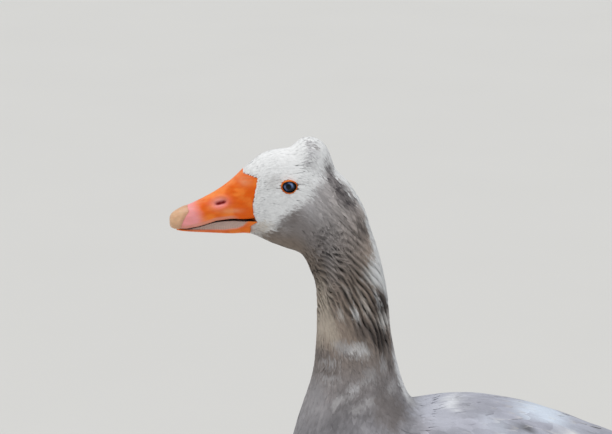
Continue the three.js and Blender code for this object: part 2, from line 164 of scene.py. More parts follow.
def put_mesh(name, points, quads, triangles=None, tint=None, vane=None, bake=None, flat=None):
    """A mesh object from arrays: points, faces of four and of three corners, a colour for each
    point, and up to two maps that hold one place for each point. Where some quads are
    marked flat, these and all triangles have sharp edges, and only the others shade smoothly."""
    groups = [g for g in (quads, triangles) if g is not None and len(g)]
    corners = np.concatenate([g.ravel() for g in groups])
    sizes = np.concatenate([np.full(len(g), g.shape[1]) for g in groups])
    mesh = bpy.data.meshes.new(name)
    mesh.vertices.add(len(points))
    mesh.vertices.foreach_set("co", np.asarray(points, np.float32).ravel())
    mesh.loops.add(len(corners))
    mesh.loops.foreach_set("vertex_index", corners.astype(np.int32))
    mesh.polygons.add(len(sizes))
    mesh.polygons.foreach_set("loop_start", (np.cumsum(sizes) - sizes).astype(np.int32))
    mesh.polygons.foreach_set("use_smooth", np.ones(len(sizes), bool))
    mesh.update(calc_edges=True)
    if flat is not None:
        is_flat = np.ones(len(sizes), bool)
        is_flat[:len(quads)] = flat
        edge_of = np.empty(len(corners), np.int32)
        mesh.loops.foreach_get("edge_index", edge_of)
        sharp = np.bincount(edge_of, np.repeat(is_flat, sizes), len(mesh.edges)) > 0
        mesh.attributes.new("sharp_edge", "BOOLEAN", "EDGE").data.foreach_set("value", sharp)
    if tint is not None:
        set_tint(mesh, tint)
    for label, spots in (("OFBake", bake), ("vane", vane)):
        if spots is not None:
            layer = mesh.uv_layers.new(name=label)
            layer.uv.foreach_set("vector", spots[corners].astype(np.float32).ravel())
    return add_object(name, mesh)


def dress(piece, material, slot, *nodes):
    """Gives a piece its material and its body, and hides the nodes it stands in for. The slot
    is not used.
    """
    piece.data.materials.append(material)
    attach(piece, "root")
    if nodes:
        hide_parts(*nodes)


def grid_faces(rows, columns, closed=False, looped=False):
    """Corners of the faces of a grid of points. The last column is joined to the first where the
    grid is closed, and the last row to the first where it is looped."""
    i, j = np.meshgrid(np.arange(rows if looped else rows - 1),
                       np.arange(columns if closed else columns - 1), indexing="ij")
    k, n = (j + 1) % columns, (i + 1) % rows
    corners = [i * columns + j, i * columns + k, n * columns + k, n * columns + j]
    return np.stack(corners, axis=-1).reshape(-1, 4)


def closed_tube(grid):
    """Points and faces of rings of points, (rows, columns, 3), with a fan of triangles to the
    middle of the first and the last ring. Rings run so that the faces point outwards."""
    rows, columns, _ = grid.shape
    points = np.vstack([grid.reshape(-1, 3), grid[0].mean(axis=0), grid[-1].mean(axis=0)])
    near, far = rows * columns, rows * columns + 1
    j = np.arange(columns)
    k = (j + 1) % columns
    start = np.stack([np.full(columns, near), k, j], axis=1)
    end = np.stack([np.full(columns, far), (rows - 1) * columns + j, (rows - 1) * columns + k], axis=1)
    return points, grid_faces(rows, columns, closed=True), np.vstack([start, end])


def ringed(name, grid, hue, material, slot, *nodes):
    """A finished piece from rings of points and their colours, closed at both ends."""
    tint = np.vstack([hue.reshape(-1, 3), hue[0, :1], hue[-1, :1]])
    dress(put_mesh(name, *closed_tube(grid), tint), material, slot, *nodes)


def oriented(rings):
    """Rings run the other way round where their surface would face inwards."""
    per_s, per_a = np.gradient(rings, axis=0), np.roll(rings, -1, axis=1) - rings
    outward = (np.cross(per_a, per_s) * (rings - rings.mean(axis=1, keepdims=True))).sum()
    return rings if outward > 0 else rings[:, ::-1]


def tube(path, across, deep, sides):
    """Rings of an ellipse carried along a path: across is its half width along X, deep its half
    depth square to that and to the path."""
    way = unit(np.gradient(path, axis=0))
    out = unit(np.array([1.0, 0, 0]) - way[:, :1] * way)
    front = np.cross(way, out)
    turn = around(sides)
    return (path[:, None]
            + (across[:, None] * np.cos(turn))[..., None] * out[:, None]
            + (deep[:, None] * np.sin(turn))[..., None] * front[:, None])


def fused(name, sets, voxel, rounds):
    """Several sets of rings, each closed, joined by a fine remesh into one smooth surface. The
    result is the piece, without a finish, and its points."""
    points, quads, triangles, start = [], [], [], 0
    for rings in sets:
        p, q, t = closed_tube(rings)
        points.append(p)
        quads.append(q + start)
        triangles.append(t + start)
        start += len(p)
    rough = put_mesh(name + "_rough", np.vstack(points), np.vstack(quads), np.vstack(triangles))
    remesh = rough.modifiers.new("join", "REMESH")
    remesh.mode = "VOXEL"
    remesh.voxel_size = voxel
    remesh.use_smooth_shade = True
    smooth = rough.modifiers.new("smooth", "SMOOTH")
    smooth.factor = 0.5
    smooth.iterations = rounds
    ready = rough.evaluated_get(bpy.context.evaluated_depsgraph_get())
    mesh = bpy.data.meshes.new_from_object(ready)
    mesh.name = name
    bpy.data.objects.remove(rough)
    mesh.polygons.foreach_set("use_smooth", np.ones(len(mesh.polygons), bool))
    mesh.materials.clear()
    spots = np.empty(len(mesh.vertices) * 3, np.float32)
    mesh.vertices.foreach_get("co", spots)
    return add_object(name, mesh), spots.reshape(-1, 3).astype(float)


# Colours of the coat.
WHITE = colour(242, 242, 242)
CHEEK = colour(178, 174, 175)
CHIN = colour(131, 116, 103)
NECK = colour(159, 143, 131)
DARK = colour(78, 69, 65)
CREAM = colour(206, 193, 177)
BREAST = colour(136, 133, 136)
BACK = colour(168, 169, 181)
WING = colour(170, 168, 175)
PALE_FRINGE = colour(218, 214, 210)
GREY = colour(120, 111, 107)
PALE = colour(184, 181, 182)
QUILL_GREY = colour(134, 128, 129)
PRIMARY_GREY = colour(98, 92, 92)


# ---- finishes -----------------------------------------------------------------------------

class Wire:
    """A socket that can stand in sums: each operator adds a Math node and gives its output."""

    def __init__(self, paint, socket):
        self.paint, self.socket = paint, socket

    def math(self, operation, *others):
        """A Math node's output for an operation on this socket and others."""
        return self.paint.math(operation, self, *others)

    def __add__(self, other):
        return self.math("ADD", other)

    def __sub__(self, other):
        return self.math("SUBTRACT", other)

    def __rsub__(self, other):
        return self.paint.math("SUBTRACT", other, self)

    def __mul__(self, other):
        return self.math("MULTIPLY", other)

    __radd__, __rmul__ = __add__, __mul__

    def step(self, low, high):
        """0 below low, 1 above high, smooth between."""
        return self.paint.node("ShaderNodeMapRange", {"interpolation_type": "SMOOTHSTEP"},
                               {"Value": self, "From Min": low, "From Max": high})


class Paint:
    """A material whose nodes are added by calls: node() adds any node, mix() blends colours."""

    def __init__(self, name, **constants):
        self.material = bpy.data.materials.new(name)
        self.material.use_nodes = True
        self.tree = self.material.node_tree
        self.shader = self.tree.nodes["Principled BSDF"]
        for socket, value in constants.items():
            self.shader.inputs[socket.replace("_", " ")].default_value = value

    def plug(self, node, inputs):
        """Gives sockets of a node their values, and links those whose value is a Wire."""
        for key, value in inputs.items():
            if isinstance(value, Wire):
                self.tree.links.new(value.socket, node.inputs[key])
            else:
                node.inputs[key].default_value = value

    def node(self, kind, settings=None, inputs=None, output=0):
        """Any node: its settings first, then its sockets' values or links."""
        made = self.tree.nodes.new(kind)
        for key, value in (settings or {}).items():
            setattr(made, key, value)
        self.plug(made, inputs or {})
        return Wire(self, made.outputs[output])

    def math(self, operation, *values):
        """A Math node on any values or sockets."""
        return self.node("ShaderNodeMath", {"operation": operation}, dict(enumerate(values)))

    def mix(self, a, b, share):
        """Colour a where the share is 0, b where it is 1. Their sockets are the node's 6 and 7."""
        return self.node("ShaderNodeMix", {"data_type": "RGBA"}, {"Factor": share, 6: a, 7: b}, 2)

    def scale(self, tint, factor):
        """A colour times a number."""
        return self.node("ShaderNodeVectorMath", {"operation": "SCALE"}, {0: tint, "Scale": factor})

    def noise(self, place, size, detail=3.0, stretch=None):
        """Noise from 0 to 1 with lumps of a size in metres, longer along an axis where the
        stretch there is below 1."""
        if stretch:
            place = self.node("ShaderNodeMapping", {}, {"Vector": place, "Scale": stretch})
        return self.node("ShaderNodeTexNoise", {}, {"Vector": place, "Scale": 1 / size, "Detail": detail})

    def place(self):
        """The place on the object, in metres."""
        return self.node("ShaderNodeTexCoord", {}, {}, "Object")

    def tint(self, output="Color"):
        """The colour kept in the mesh's points, or its alpha."""
        return self.node("ShaderNodeAttribute", {"attribute_name": "tint"}, {}, output)

    def finish(self, colour, roughness=None, height=None, depth=0.2 * MM, strength=1.0):
        """The material with its colour, its roughness, and a relief of a depth in metres."""
        self.plug(self.shader, {"Base Color": colour})
        if roughness is not None:
            self.plug(self.shader, {"Roughness": roughness})
        if height is not None:
            relief = {"Height": height, "Distance": depth, "Strength": strength}
            self.plug(self.shader, {"Normal": self.node("ShaderNodeBump", {}, relief)})
        return self.material


def vane_places(paint):
    """Share across the vane from its shaft, -1 to 1, and share along it from the root."""
    spot = paint.node("ShaderNodeUVMap", {"uv_map": "vane"})
    across, ahead = (paint.node("ShaderNodeSeparateXYZ", {}, {0: spot}, axis) for axis in (0, 1))
    return (across - 0.5) * 2, ahead


def feather_finish(name, barbs, across_barbs, contrast, shaft=0.0, soft=0.08):
    """Barbs as fine slanted lines from the shaft, a paler fringe where the tint's alpha asks for
    it, and a faint mottle. There are `barbs` lines along the vane and `across_barbs` more from
    the shaft to its edge. Contrast is how dark the lines are, shaft how pale the quill, and soft
    the depth of the relief in millimetres."""
    paint = Paint(name, Roughness=0.85, Specular_IOR_Level=0.25, Sheen_Weight=0.12, Sheen_Roughness=0.6)
    across, ahead = vane_places(paint)
    side = across.math("ABSOLUTE")
    place = paint.place()
    wobble = paint.noise(place, 6 * MM, 2.0)
    line = ((ahead * barbs - side * across_barbs + wobble * 1.5) * TURN).math("SINE")
    mottle = paint.noise(place, 2.5 * MM)
    tone = 1 - (1 - line) * (contrast / 2) + (mottle - 0.5) * 0.16
    tint = paint.scale(paint.tint(), tone)
    rim = side.step(0.62, 0.95).math("MAXIMUM", ahead.step(0.84, 0.97)) * paint.tint("Alpha")
    tint = paint.mix(tint, (*PALE_FRINGE, 1), rim)
    if shaft:
        quill = (1 - side.step(0.02, 0.07)) * shaft
        tint = paint.mix(tint, (*colour(205, 196, 186), 1), quill)
    return paint.finish(tint, mottle * 0.2 + 0.72, line * 0.5 + mottle, soft * MM, 0.6)


def skin_finish():
    """Down between the feathers: the coat's own colours, a little darker and matt."""
    paint = Paint("skin_down", Roughness=0.95, Specular_IOR_Level=0.1)
    place = paint.place()
    fluff = paint.noise(place, 1.6 * MM, 4.0)
    return paint.finish(paint.scale(paint.tint(), fluff * 0.3 + 0.75), None, fluff, 0.4 * MM)


def horn_finish(name, roughness, coat, grain, stretch=(1, 0.25, 1)):
    """Horn or leathery skin: the tint with fine pores and an uneven grain, which is drawn out
    along Y unless the stretch says otherwise. It varies by 0.1 round the given roughness."""
    paint = Paint(name, Coat_Weight=coat, Coat_Roughness=0.25, Specular_IOR_Level=0.2,
                  Subsurface_Weight=0.08, Subsurface_Radius=(0.004, 0.0015, 0.0008),
                  Subsurface_Scale=0.5)
    place = paint.place()
    streaks = paint.noise(place, grain, 4.0, stretch)
    pores = paint.noise(place, 0.7 * MM, 2.0)
    tone = (streaks - 0.5) * 0.22 + (pores - 0.5) * 0.08 + 1.0
    return paint.finish(paint.scale(paint.tint(), tone), streaks * 0.2 + (roughness - 0.1),
                        streaks + pores * 0.5, 0.25 * MM, 0.7)


def scale_finish(name):
    """Scaly leg skin: small cells with darker lines between them."""
    paint = Paint(name, Specular_IOR_Level=0.4)
    place = paint.place()
    cells = paint.node("ShaderNodeTexVoronoi", {"feature": "DISTANCE_TO_EDGE"},
                       {"Vector": place, "Scale": 1 / (1.7 * MM)})
    line = cells.step(0.0, 0.22)
    grain = paint.noise(place, 1.2 * MM)
    tint = paint.scale(paint.tint(), line * 0.2 + 0.82 + (grain - 0.5) * 0.25)
    return paint.finish(tint, grain * 0.2 + 0.42, line + grain * 0.3, 0.35 * MM)


def eye_finish():
    """A wet ball: its tint with fine fibres in the iris, under a clear coat."""
    paint = Paint("eye_wet", Roughness=0.3, Coat_Weight=0.25, Coat_Roughness=0.03, Specular_IOR_Level=0.15)
    fibres = paint.noise(paint.place(), 0.5 * MM)
    return paint.finish(paint.scale(paint.tint(), fibres * 0.5 + 0.75))


# ---- the bird's outer surface -------------------------------------------------------------

# Upper and lower outline from the bill's root over head, neck and back to the rump, [y, z].
OUTLINE = [
    ([-240, 549], [-237, 501.8]), ([-227.5, 560.8], [-223, 499.6]), ([-213.5, 571.6], [-208.5, 492.6]),
    ([-196, 575.4], [-194, 487]), ([-173, 572.6], [-180.5, 481.8]), ([-151.5, 556.5], [-173.4, 468]),
    ([-131, 527.5], [-169.4, 455]), ([-115.2, 490.5], [-168, 440]), ([-105, 447], [-167.6, 422.5]),
    ([-101.2, 408.4], [-168, 400]), ([-94, 375], [-171.2, 371]), ([-86, 354], [-181.5, 339]),
    ([-76, 344], [-193, 297]), ([-62, 345.4], [-199.5, 252]), ([-40, 348.6], [-187, 206]),
    ([-8, 348], [-146, 162]), ([35, 339], [-82, 137]), ([84, 320.5], [-4, 130]),
    ([132, 300], [76, 145]), ([174, 281], [146, 176]), ([206, 267.5], [193, 212]),
    ([226, 258], [220, 233]),
]
LAST = len(OUTLINE) - 1
RINGS_EACH = 12  # rings of the table for each stretch of the outline
SIDES = 128
PAST_OUTLINE = 32 * MM  # how far beyond the outline's half height the rays still look
LEAST_RADIUS = 5 * MM
OUTER_NODES = ["head", "crest", "neck_upper", "neck_middle", "neck_lower", "trunk", "rump", "eye_left",
               "eye_right", "bill_upper", "bill_lower", "wing_left", "wing_right", "wing_tip_left",
               "wing_tip_right"]


def joined_tree(names):
    """A search tree over the faces of several solids, and for each face 1 on a wing, 2 on the
    crest and 0 elsewhere."""
    points, faces, kinds = [], [], []
    for name in names:
        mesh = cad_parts[name].data
        start = len(points)
        points.extend(v.co.copy() for v in mesh.vertices)
        faces.extend([start + i for i in p.vertices] for p in mesh.polygons)
        kinds.extend([1 if "wing" in name else 2 if name == "crest" else 0] * len(mesh.polygons))
    return BVHTree.FromPolygons(points, faces), kinds


def outermost(tree, kinds, start, way, reach):
    """Distance from start along way to the last surface within reach, and that face's kind."""
    found, kind, gone = 0.0, 0, 0.0
    while True:
        hit, _, face, distance = tree.ray_cast(start + way * gone, way, reach - gone)
        if hit is None:
            return found, kind
        found, kind = gone + distance, kinds[face]
        gone = found + 0.02 * MM


class Surface:
    """A tube-like surface kept as a table: rows are places along it, columns are angles round it
    from the top towards +X. Between the rows and columns everything is blended."""

    def __init__(self, points, rows_each, kinds=None):
        self.points, self.rows_each = points, rows_each
        self.rows, self.columns, _ = points.shape
        wrapped = np.concatenate([points[:, -1:], points, points[:, :1]], axis=1)
        per_s = np.gradient(points, axis=0) * rows_each
        per_a = (wrapped[:, 2:] - wrapped[:, :-2]) * self.columns / (2 * TURN)
        normal = unit(np.cross(per_a, per_s))
        kinds = np.zeros(points.shape[:2]) if kinds is None else kinds
        self.table = np.concatenate([points, normal, per_s, per_a, kinds[..., None]], axis=-1)

    def read(self, s, a):
        """Point, normal, step per place, step per radian and kind at places s and angles a."""
        row = np.clip(s * self.rows_each, 0, self.rows - 1.001)
        column = (a / TURN * self.columns) % self.columns
        i, j = np.floor(row).astype(int), np.floor(column).astype(int)
        u, v = (row - i)[..., None], (column - j)[..., None]
        j %= self.columns
        k = (j + 1) % self.columns
        t = self.table
        got = blend(blend(t[i, j], t[i, k], v), blend(t[i + 1, j], t[i + 1, k], v), u)
        return got[..., 0:3], unit(got[..., 3:6]), got[..., 6:9], got[..., 9:12], got[..., 12]


def soften(table, times):
    """Each number blended with its neighbours along and round, a quarter, a half, a quarter."""
    for _ in range(times):
        ends = np.vstack([table[:1], table, table[-1:]])
        table = (ends[:-2] + 2 * ends[1:-1] + ends[2:]) / 4
        table = (np.roll(table, 1, axis=1) + 2 * table + np.roll(table, -1, axis=1)) / 4
    return table


def outer_surface():
    """The outermost surface of head, crest, neck, trunk and folded wings, met by rays from the
    middle of each section. A section lies in the plane of its two outline points and of X."""
    places = np.linspace(0, LAST, LAST * RINGS_EACH + 1)
    upper = along([top for top, _ in OUTLINE], places) * MM
    lower = along([bottom for _, bottom in OUTLINE], places) * MM
    upper[-1], lower[-1] = blend(upper[-1], upper[-2], 0.3), blend(lower[-1], lower[-2], 0.3)
    middle, up = (upper + lower) / 2, unit(upper - lower)
    reach = np.linalg.norm(upper - lower, axis=1) / 2 + PAST_OUTLINE
    tree, kinds = joined_tree(OUTER_NODES)
    radius, kind = np.zeros((len(places), SIDES)), np.zeros((len(places), SIDES))
    turn = around(SIDES)
    for i in range(len(places)):
        start = Vector((0, *middle[i]))
        for j in range(SIDES):
            way = Vector((np.sin(turn[j]), *(np.cos(turn[j]) * up[i])))
            radius[i, j], kind[i, j] = outermost(tree, kinds, start, way, reach[i])
    radius = np.where(radius < LEAST_RADIUS, np.roll(radius, 1, axis=0), radius)
    radius = (radius + radius[:, (-np.arange(SIDES)) % SIDES]) / 2  # the same on both sides
    head_rows = 6 * RINGS_EACH
    soft, softer = soften(radius, 3), soften(radius, 9)
    share = ramp(np.arange(len(places)), head_rows, 2 * head_rows)[:, None]
    radius = blend(soft, softer, share)
    ray = np.stack([np.broadcast_to(np.sin(turn), radius.shape),
                    np.cos(turn) * up[:, :1], np.cos(turn) * up[:, 1:]], axis=-1)
    centre = np.stack([0 * middle[:, 0], middle[:, 0], middle[:, 1]], axis=-1)
    wing = soften(np.where(kind == 1, 1.0, 0.0), 3)
    return centre, ray, radius, Surface(centre[:, None] + radius[..., None] * ray, RINGS_EACH, wing)


centre, ray, radius, shell = outer_surface()


# ---- markings -----------------------------------------------------------------------------

# Rear edge of the white face seen from the side: [height, y].
FACE_LINE = np.array([(480, -214), (498, -214), (501, -205), (510, -200), (519, -188), (527, -173),
                      (536, -168), (546, -159), (560, -157), (575, -150), (590, -146)])

# Patches of the side view: y, height, half length, half height, lean, colour, strength.
PATCHES = [
    (-190, 511, 14, 5, 0.72, colour(126, 118, 115), 0.7),     # behind the white face
    (-203, 500.5, 9, 4, 0.5, colour(126, 116, 110), 0.7),
    # Painted shadow: the next patch darkens the gap under the scapulars.
    (14, 326, 8, 2.4, -0.35, colour(58, 56, 54), 0.9),        # gap under the scapulars
    (-129, 505, 4, 18, 0.4, colour(88, 78, 74), 0.5),
    (-115, 463, 9.5, 13, 0.3, WHITE, 0.95),                   # white on the nape
    (-110, 440, 9, 13, 0.15, DARK, 0.95),                     # dark points behind the neck
    (-110, 403, 6.5, 14, 0.1, DARK, 0.9),
    (-126, 412, 10, 12, 0.2, colour(104, 94, 90), 0.7),
    (-107, 420, 7, 6, 0, colour(232, 228, 224), 0.95),
    (-114.5, 441, 1.6, 8, 0.25, WHITE, 0.8),
    (-125.5, 436, 3, 14, 0.3, colour(214, 206, 198), 0.75),   # streaks among the ropes
    (-133.6, 428, 2.4, 6.5, 0.2, WHITE, 0.85),
    (-146, 426, 2.8, 4.5, 0.2, colour(214, 208, 202), 0.8),
    (-140, 448, 2, 5, 0.3, colour(200, 194, 190), 0.6),
    (-163, 428, 8, 28, 0, CREAM, 0.95),                       # cream before the throat
    (-153, 410, 5, 13, 0.2, CREAM, 0.7),
    (-130.7, 394.6, 10, 6, 0, colour(222, 220, 220), 0.9),    # pale in the middle of the neck
    (-145, 397, 7, 5.5, 0, PALE, 0.75),
    (-137, 387.5, 9, 2.2, 0, GREY, 0.8),
    (-163, 390, 9, 4.5, 0, GREY, 0.85),
    (-156, 382, 10, 2.6, 0, PALE, 0.8),
    (-161, 374.5, 10, 3.6, 0, GREY, 0.7),
    (-157, 368, 10, 2.6, 0, PALE, 0.8),
    (-134.5, 360, 5.5, 3.4, 0.5, colour(206, 204, 206), 0.85),
    (-120.5, 374, 6, 4.5, 0, PALE, 0.6),
    (-109, 381, 2.8, 7, 0.2, PALE, 0.8),
    (-102.5, 378.5, 2, 5, 0, DARK, 0.7),
    (-102, 360, 3.5, 8, -0.5, PALE, 0.8),
    (-106, 340, 14, 17, 0.3, GREY, 0.6),                      # on the breast
    (-168, 348, 11, 17, 0, colour(166, 163, 166), 0.6),
    (-150, 347, 3, 7, -0.5, PALE, 0.75),
    (-126, 346, 12, 2.6, 0.45, PALE, 0.8),
    (-124, 366, 9, 2.2, 0.3, PALE, 0.7),
    (-142, 352, 8, 2, 0.3, PALE, 0.6),
    (-60, 338, 20, 12, -0.3, colour(200, 202, 214), 0.75),    # on the shoulder and the back
    (-48, 345, 8, 5, -0.5, colour(236, 238, 242), 0.95),
    (34, 335, 24, 6, -0.3, colour(216, 226, 240), 1.0),
    (-8, 325, 9, 7, -0.8, colour(200, 206, 218), 0.7),
    (-20, 331, 6, 8, 0, colour(204, 208, 220), 0.7),
]

# The same for head and crest, laid last.
CREST_PATCHES = [
    (-170, 572, 4, 8, 0.3, colour(176, 172, 178), 0.6),       # smudges on the crest
    (-173, 579, 3, 2, 0.3, colour(112, 104, 108), 0.7),
    (-168.5, 575, 3, 3, 0.3, colour(126, 116, 116), 0.7),
    (-173.5, 562, 2.6, 4.5, 0.1, colour(122, 116, 122), 0.65),
    (-170.5, 567, 2, 3, 0.1, colour(140, 134, 140), 0.6),
    (-162, 552, 2.4, 2, 0.1, colour(128, 122, 126), 0.6),
    (-214, 505.5, 9, 4.5, 0.2, colour(206, 192, 174), 0.75),  # buff at the chin's corner
    (-156.5, 557.5, 3.4, 4.6, 0.5, colour(84, 78, 80), 0.85),  # dark behind the crest
    (-153, 549, 5, 8, 0.5, colour(70, 64, 66), 1.0),
    (-147, 539, 7, 9, 0.6, colour(72, 66, 68), 1.0),
    (-139.5, 528, 7, 10, 0.6, colour(78, 72, 73), 1.0),
    (-204, 545, 7, 6.5, 0.3, colour(172, 167, 164), 0.5),     # before the eye
    (-172, 541.5, 7, 1.1, -0.1, colour(150, 140, 136), 0.6),  # line behind the eye
]

# Colours from the bill's root to the tail, each with its place along the body.
BASE_PLACES = [0, 4, 5.4, 7, 8.6, 9.7, 11, 13, 15, 17, 21]
BASE_COLOURS = np.array([CHEEK, CHEEK, blend(CHEEK, NECK, 0.35), NECK, NECK, blend(NECK, BREAST, 0.7),
                         BREAST, blend(BREAST, BACK, 0.5), BACK, BACK, BACK])

# Half width of the nape's white line: [place, radians].
NAPE_LINE = np.array([(4.4, 0.16), (5, 0.2), (6, 0.2), (6.7, 0.4), (7.4, 0.8), (7.9, 0.3), (8.5, 0.15),
                      (9.5, 0.36), (11, 0.3)])


def markings(points, s, a):
    """The colour of the coat at points with their places s and angles a. A base colour runs along
    the body, the face, belly and tail coverts are white, and soft-edged patches lie over it, with
    single feathers of one colour strewn into the other. Heights are those of the side view, so
    that both flanks match. Each layer is bounded by ramps along the body, round it, or both."""
    y, flat = side_view(points)
    turn = from_back(a)
    coarse, fine, hair = cloud(points, 14 * MM, 1), cloud(points, 4 * MM, 2), cloud(points, 1.1 * MM, 3)
    ragged = 0.5 * coarse + 0.5 * fine + 0.4 * hair
    streak = cloud(np.stack([s * 1.6, a * 26, 0 * s], axis=-1), 1.0, 5)
    dash = cloud(np.stack([s * 7, a * 38, 0 * s], axis=-1), 1.0, 9)
    base = np.stack([np.interp(s, BASE_PLACES, BASE_COLOURS[:, k]) for k in range(3)], axis=1)
    soft = 1 + 1.3 * ramp(s, 9, 10.5) * (1 - 0.5 * ramp(s, 13, 15))
    tone = base * (1 + soft * (0.14 * coarse + 0.12 * fine) + 0.10 * hair)[:, None]
    tone = tone * (1 + 0.22 * dash * ramp(s, 9, 10) * (1 - ramp(s, 13, 15)))[:, None]

    def lay(top, share):
        """Blends the tone towards another colour by a share for each point."""
        nonlocal tone
        tone = blend(tone, top, np.clip(share, 0, 1)[:, None])

    def lay_patches(patches, broken=1.0):
        """Each patch is a leaning ellipse with a soft edge that noise makes ragged."""
        for at_y, at_z, long, high, lean, hue, strength in patches:
            u, v = turned(y, flat, (at_y, at_z), lean)
            near = np.hypot(u / long, v / high) + 0.42 * ragged
            lay(hue, strength * broken * (1 - ramp(near, 0.55, 1.4)))

    # Pale and dark streaks of the neck, grey under the cheek, and the chin.
    pale_streak = ramp(streak + 0.3 * hair, 0.1, 0.7) * ramp(s, 2.5, 4) * (1 - ramp(s, 6, 7.5))
    lay(tone * 1.4, 0.6 * pale_streak)
    lay(tone * 0.65, 0.5 * ramp(-streak, 0.2, 0.8) * ramp(s, 3.5, 5) * (1 - ramp(s, 9.2, 10.5)))
    lay(GREY, 0.7 * ramp(turn, 1.4, 2.2) * ramp(s, 2.2, 3.2) * (1 - ramp(s, 4.6, 6)))
    lay(CHIN, 0.85 * ramp(turn, 2.2, 2.8) * (1 - ramp(s, 5.5, 7)))
    # White clouds on the trunk, the white belly and the white tail coverts.
    pied = ramp(cloud(points, 32 * MM, 8) + 0.35 * coarse, 0.25, 0.6)
    lay(WHITE, 0.75 * pied * ramp(s, 13, 14))
    lay(WHITE, ramp(turn + 0.12 * ragged, 2.0, 2.35) * ramp(s, 11, 12.5) * ramp(s, 12.5, 15))
    lay(WHITE, ramp(s + 0.3 * ragged, 18.6, 19.4))
    lay_patches(PATCHES)
    # The line down the nape, fainter for a stretch of the lower neck.
    nape_half = np.interp(s, *NAPE_LINE.T)
    nape = (1 - ramp(turn + 0.1 * hair, 0.7 * nape_half, 1.15 * nape_half)) * ramp(s, 4.4, 4.8)
    nape = nape * (1 - ramp(s, 10.5, 11.5))
    lay(WHITE, 0.95 * nape * (1 - 0.6 * ramp(s, 8, 8.2) * (1 - ramp(s, 9, 9.4))))
    # The white face, and the crest with its smudges and the line that starts behind it.
    white_face = 1 - ramp(y - np.interp(flat, *FACE_LINE.T) + 6 * ragged, -2.5, 2.5)
    lay(WHITE, np.where(s < 6.5, white_face, 0))
    crest = (s < 5.5) & (flat > 553) & (y > -190)
    rear = y + 3 * ragged - 0.7 * np.maximum(flat - 561, 0)
    lay(WHITE, np.where(crest, 1 - ramp(rear, -158.5, -154.5), 0))
    lay_patches(CREST_PATCHES, 0.5 + 0.5 * ramp(fine + hair + 0.4 * streak, -0.5, 0.3))
    middle = 1 - ramp(turn + 0.12 * hair + 0.1 * fine, 0.1, 0.3)
    lay(WHITE, middle * ramp(s, 4.5, 4.9) * (1 - ramp(s, 6, 6.6)))
    lay(CHIN, 0.55 * ramp(turn, 2.35, 2.8) * ramp(s, 0.2, 1.4) * (1 - ramp(s, 3, 4)))
    return np.clip(tone, 0.004, 0.9)


# ---- coat ---------------------------------------------------------------------------------

EYE_BOX = np.array([list(corner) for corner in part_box("eye_left")])
EYE_AT = (EYE_BOX[0] + EYE_BOX[1]) / 2
EYE_RADIUS = (EYE_BOX[1, 2] - EYE_BOX[0, 2]) / 2

# Millimetres at places along the body: depth of the coat and length of its feathers, and their
# width as a share of that.
COAT_DEPTH = [(0, 0.7), (1, 1.0), (2.5, 1.5), (4, 2.2), (5.5, 3.4), (9, 3.6), (12, 4), (15, 5), (21, 5)]
LENGTH = [(0, 4.5), (1.5, 6), (4, 8), (5.5, 10), (7, 11), (9.5, 12), (11, 16), (12.5, 22), (14, 30),
          (16, 40), (18, 44), (20, 40), (21, 38)]
SLENDER = [(0, 0.34), (5, 0.32), (9.5, 0.32), (12, 0.38), (14, 0.55), (21, 0.6)]

# Front edge of the face's feathers, [y, z], from the bill's ridge to the chin.
FACE_EDGE = np.array([
    [-232.2, 562], [-232.2, 554.6], [-218.4, 552.2], [-221.2, 539.9], [-223.6, 529.2], [-222.6, 519.5],
    [-219.4, 514.4], [-220.8, 511.8], [-225.4, 510.4], [-226.4, 499], [-226.4, 480],
]) * MM


def sized(stops, s):
    """A length in metres read along the body from [place, millimetres] stops."""
    return np.interp(s, *np.array(stops).T) * MM


def width_of(s):
    """Width of the feathers at a place along the body."""
    return sized(LENGTH, s) * np.interp(s, *np.array(SLENDER).T)


def coat_depth(points, s):
    """How far the skin lies under the coat's outline: thin at the bill's root and round the eye,
    thick on the trunk, and let in further under the eye's own oval."""
    mirrored = np.stack([np.abs(points[..., 0]), points[..., 1], points[..., 2]], axis=-1)
    away = np.linalg.norm(mirrored - EYE_AT, axis=-1)
    near = np.hypot(points[..., 1] - EYE_AT[1], points[..., 2] - EYE_AT[2])
    socket = 1 - ramp(near, 5.2 * MM, 6.6 * MM)
    return blend(1.0 * MM, sized(COAT_DEPTH, s), ramp(away, 8 * MM, 13 * MM)) + 3.5 * MM * socket


def behind_edge(points):
    """How far points lie behind the front edge of the face's feathers, along Y."""
    order = np.argsort(FACE_EDGE[:, 1])
    edge = np.interp(points[..., 2], FACE_EDGE[order, 1], FACE_EDGE[order, 0])
    return points[..., 1] - edge


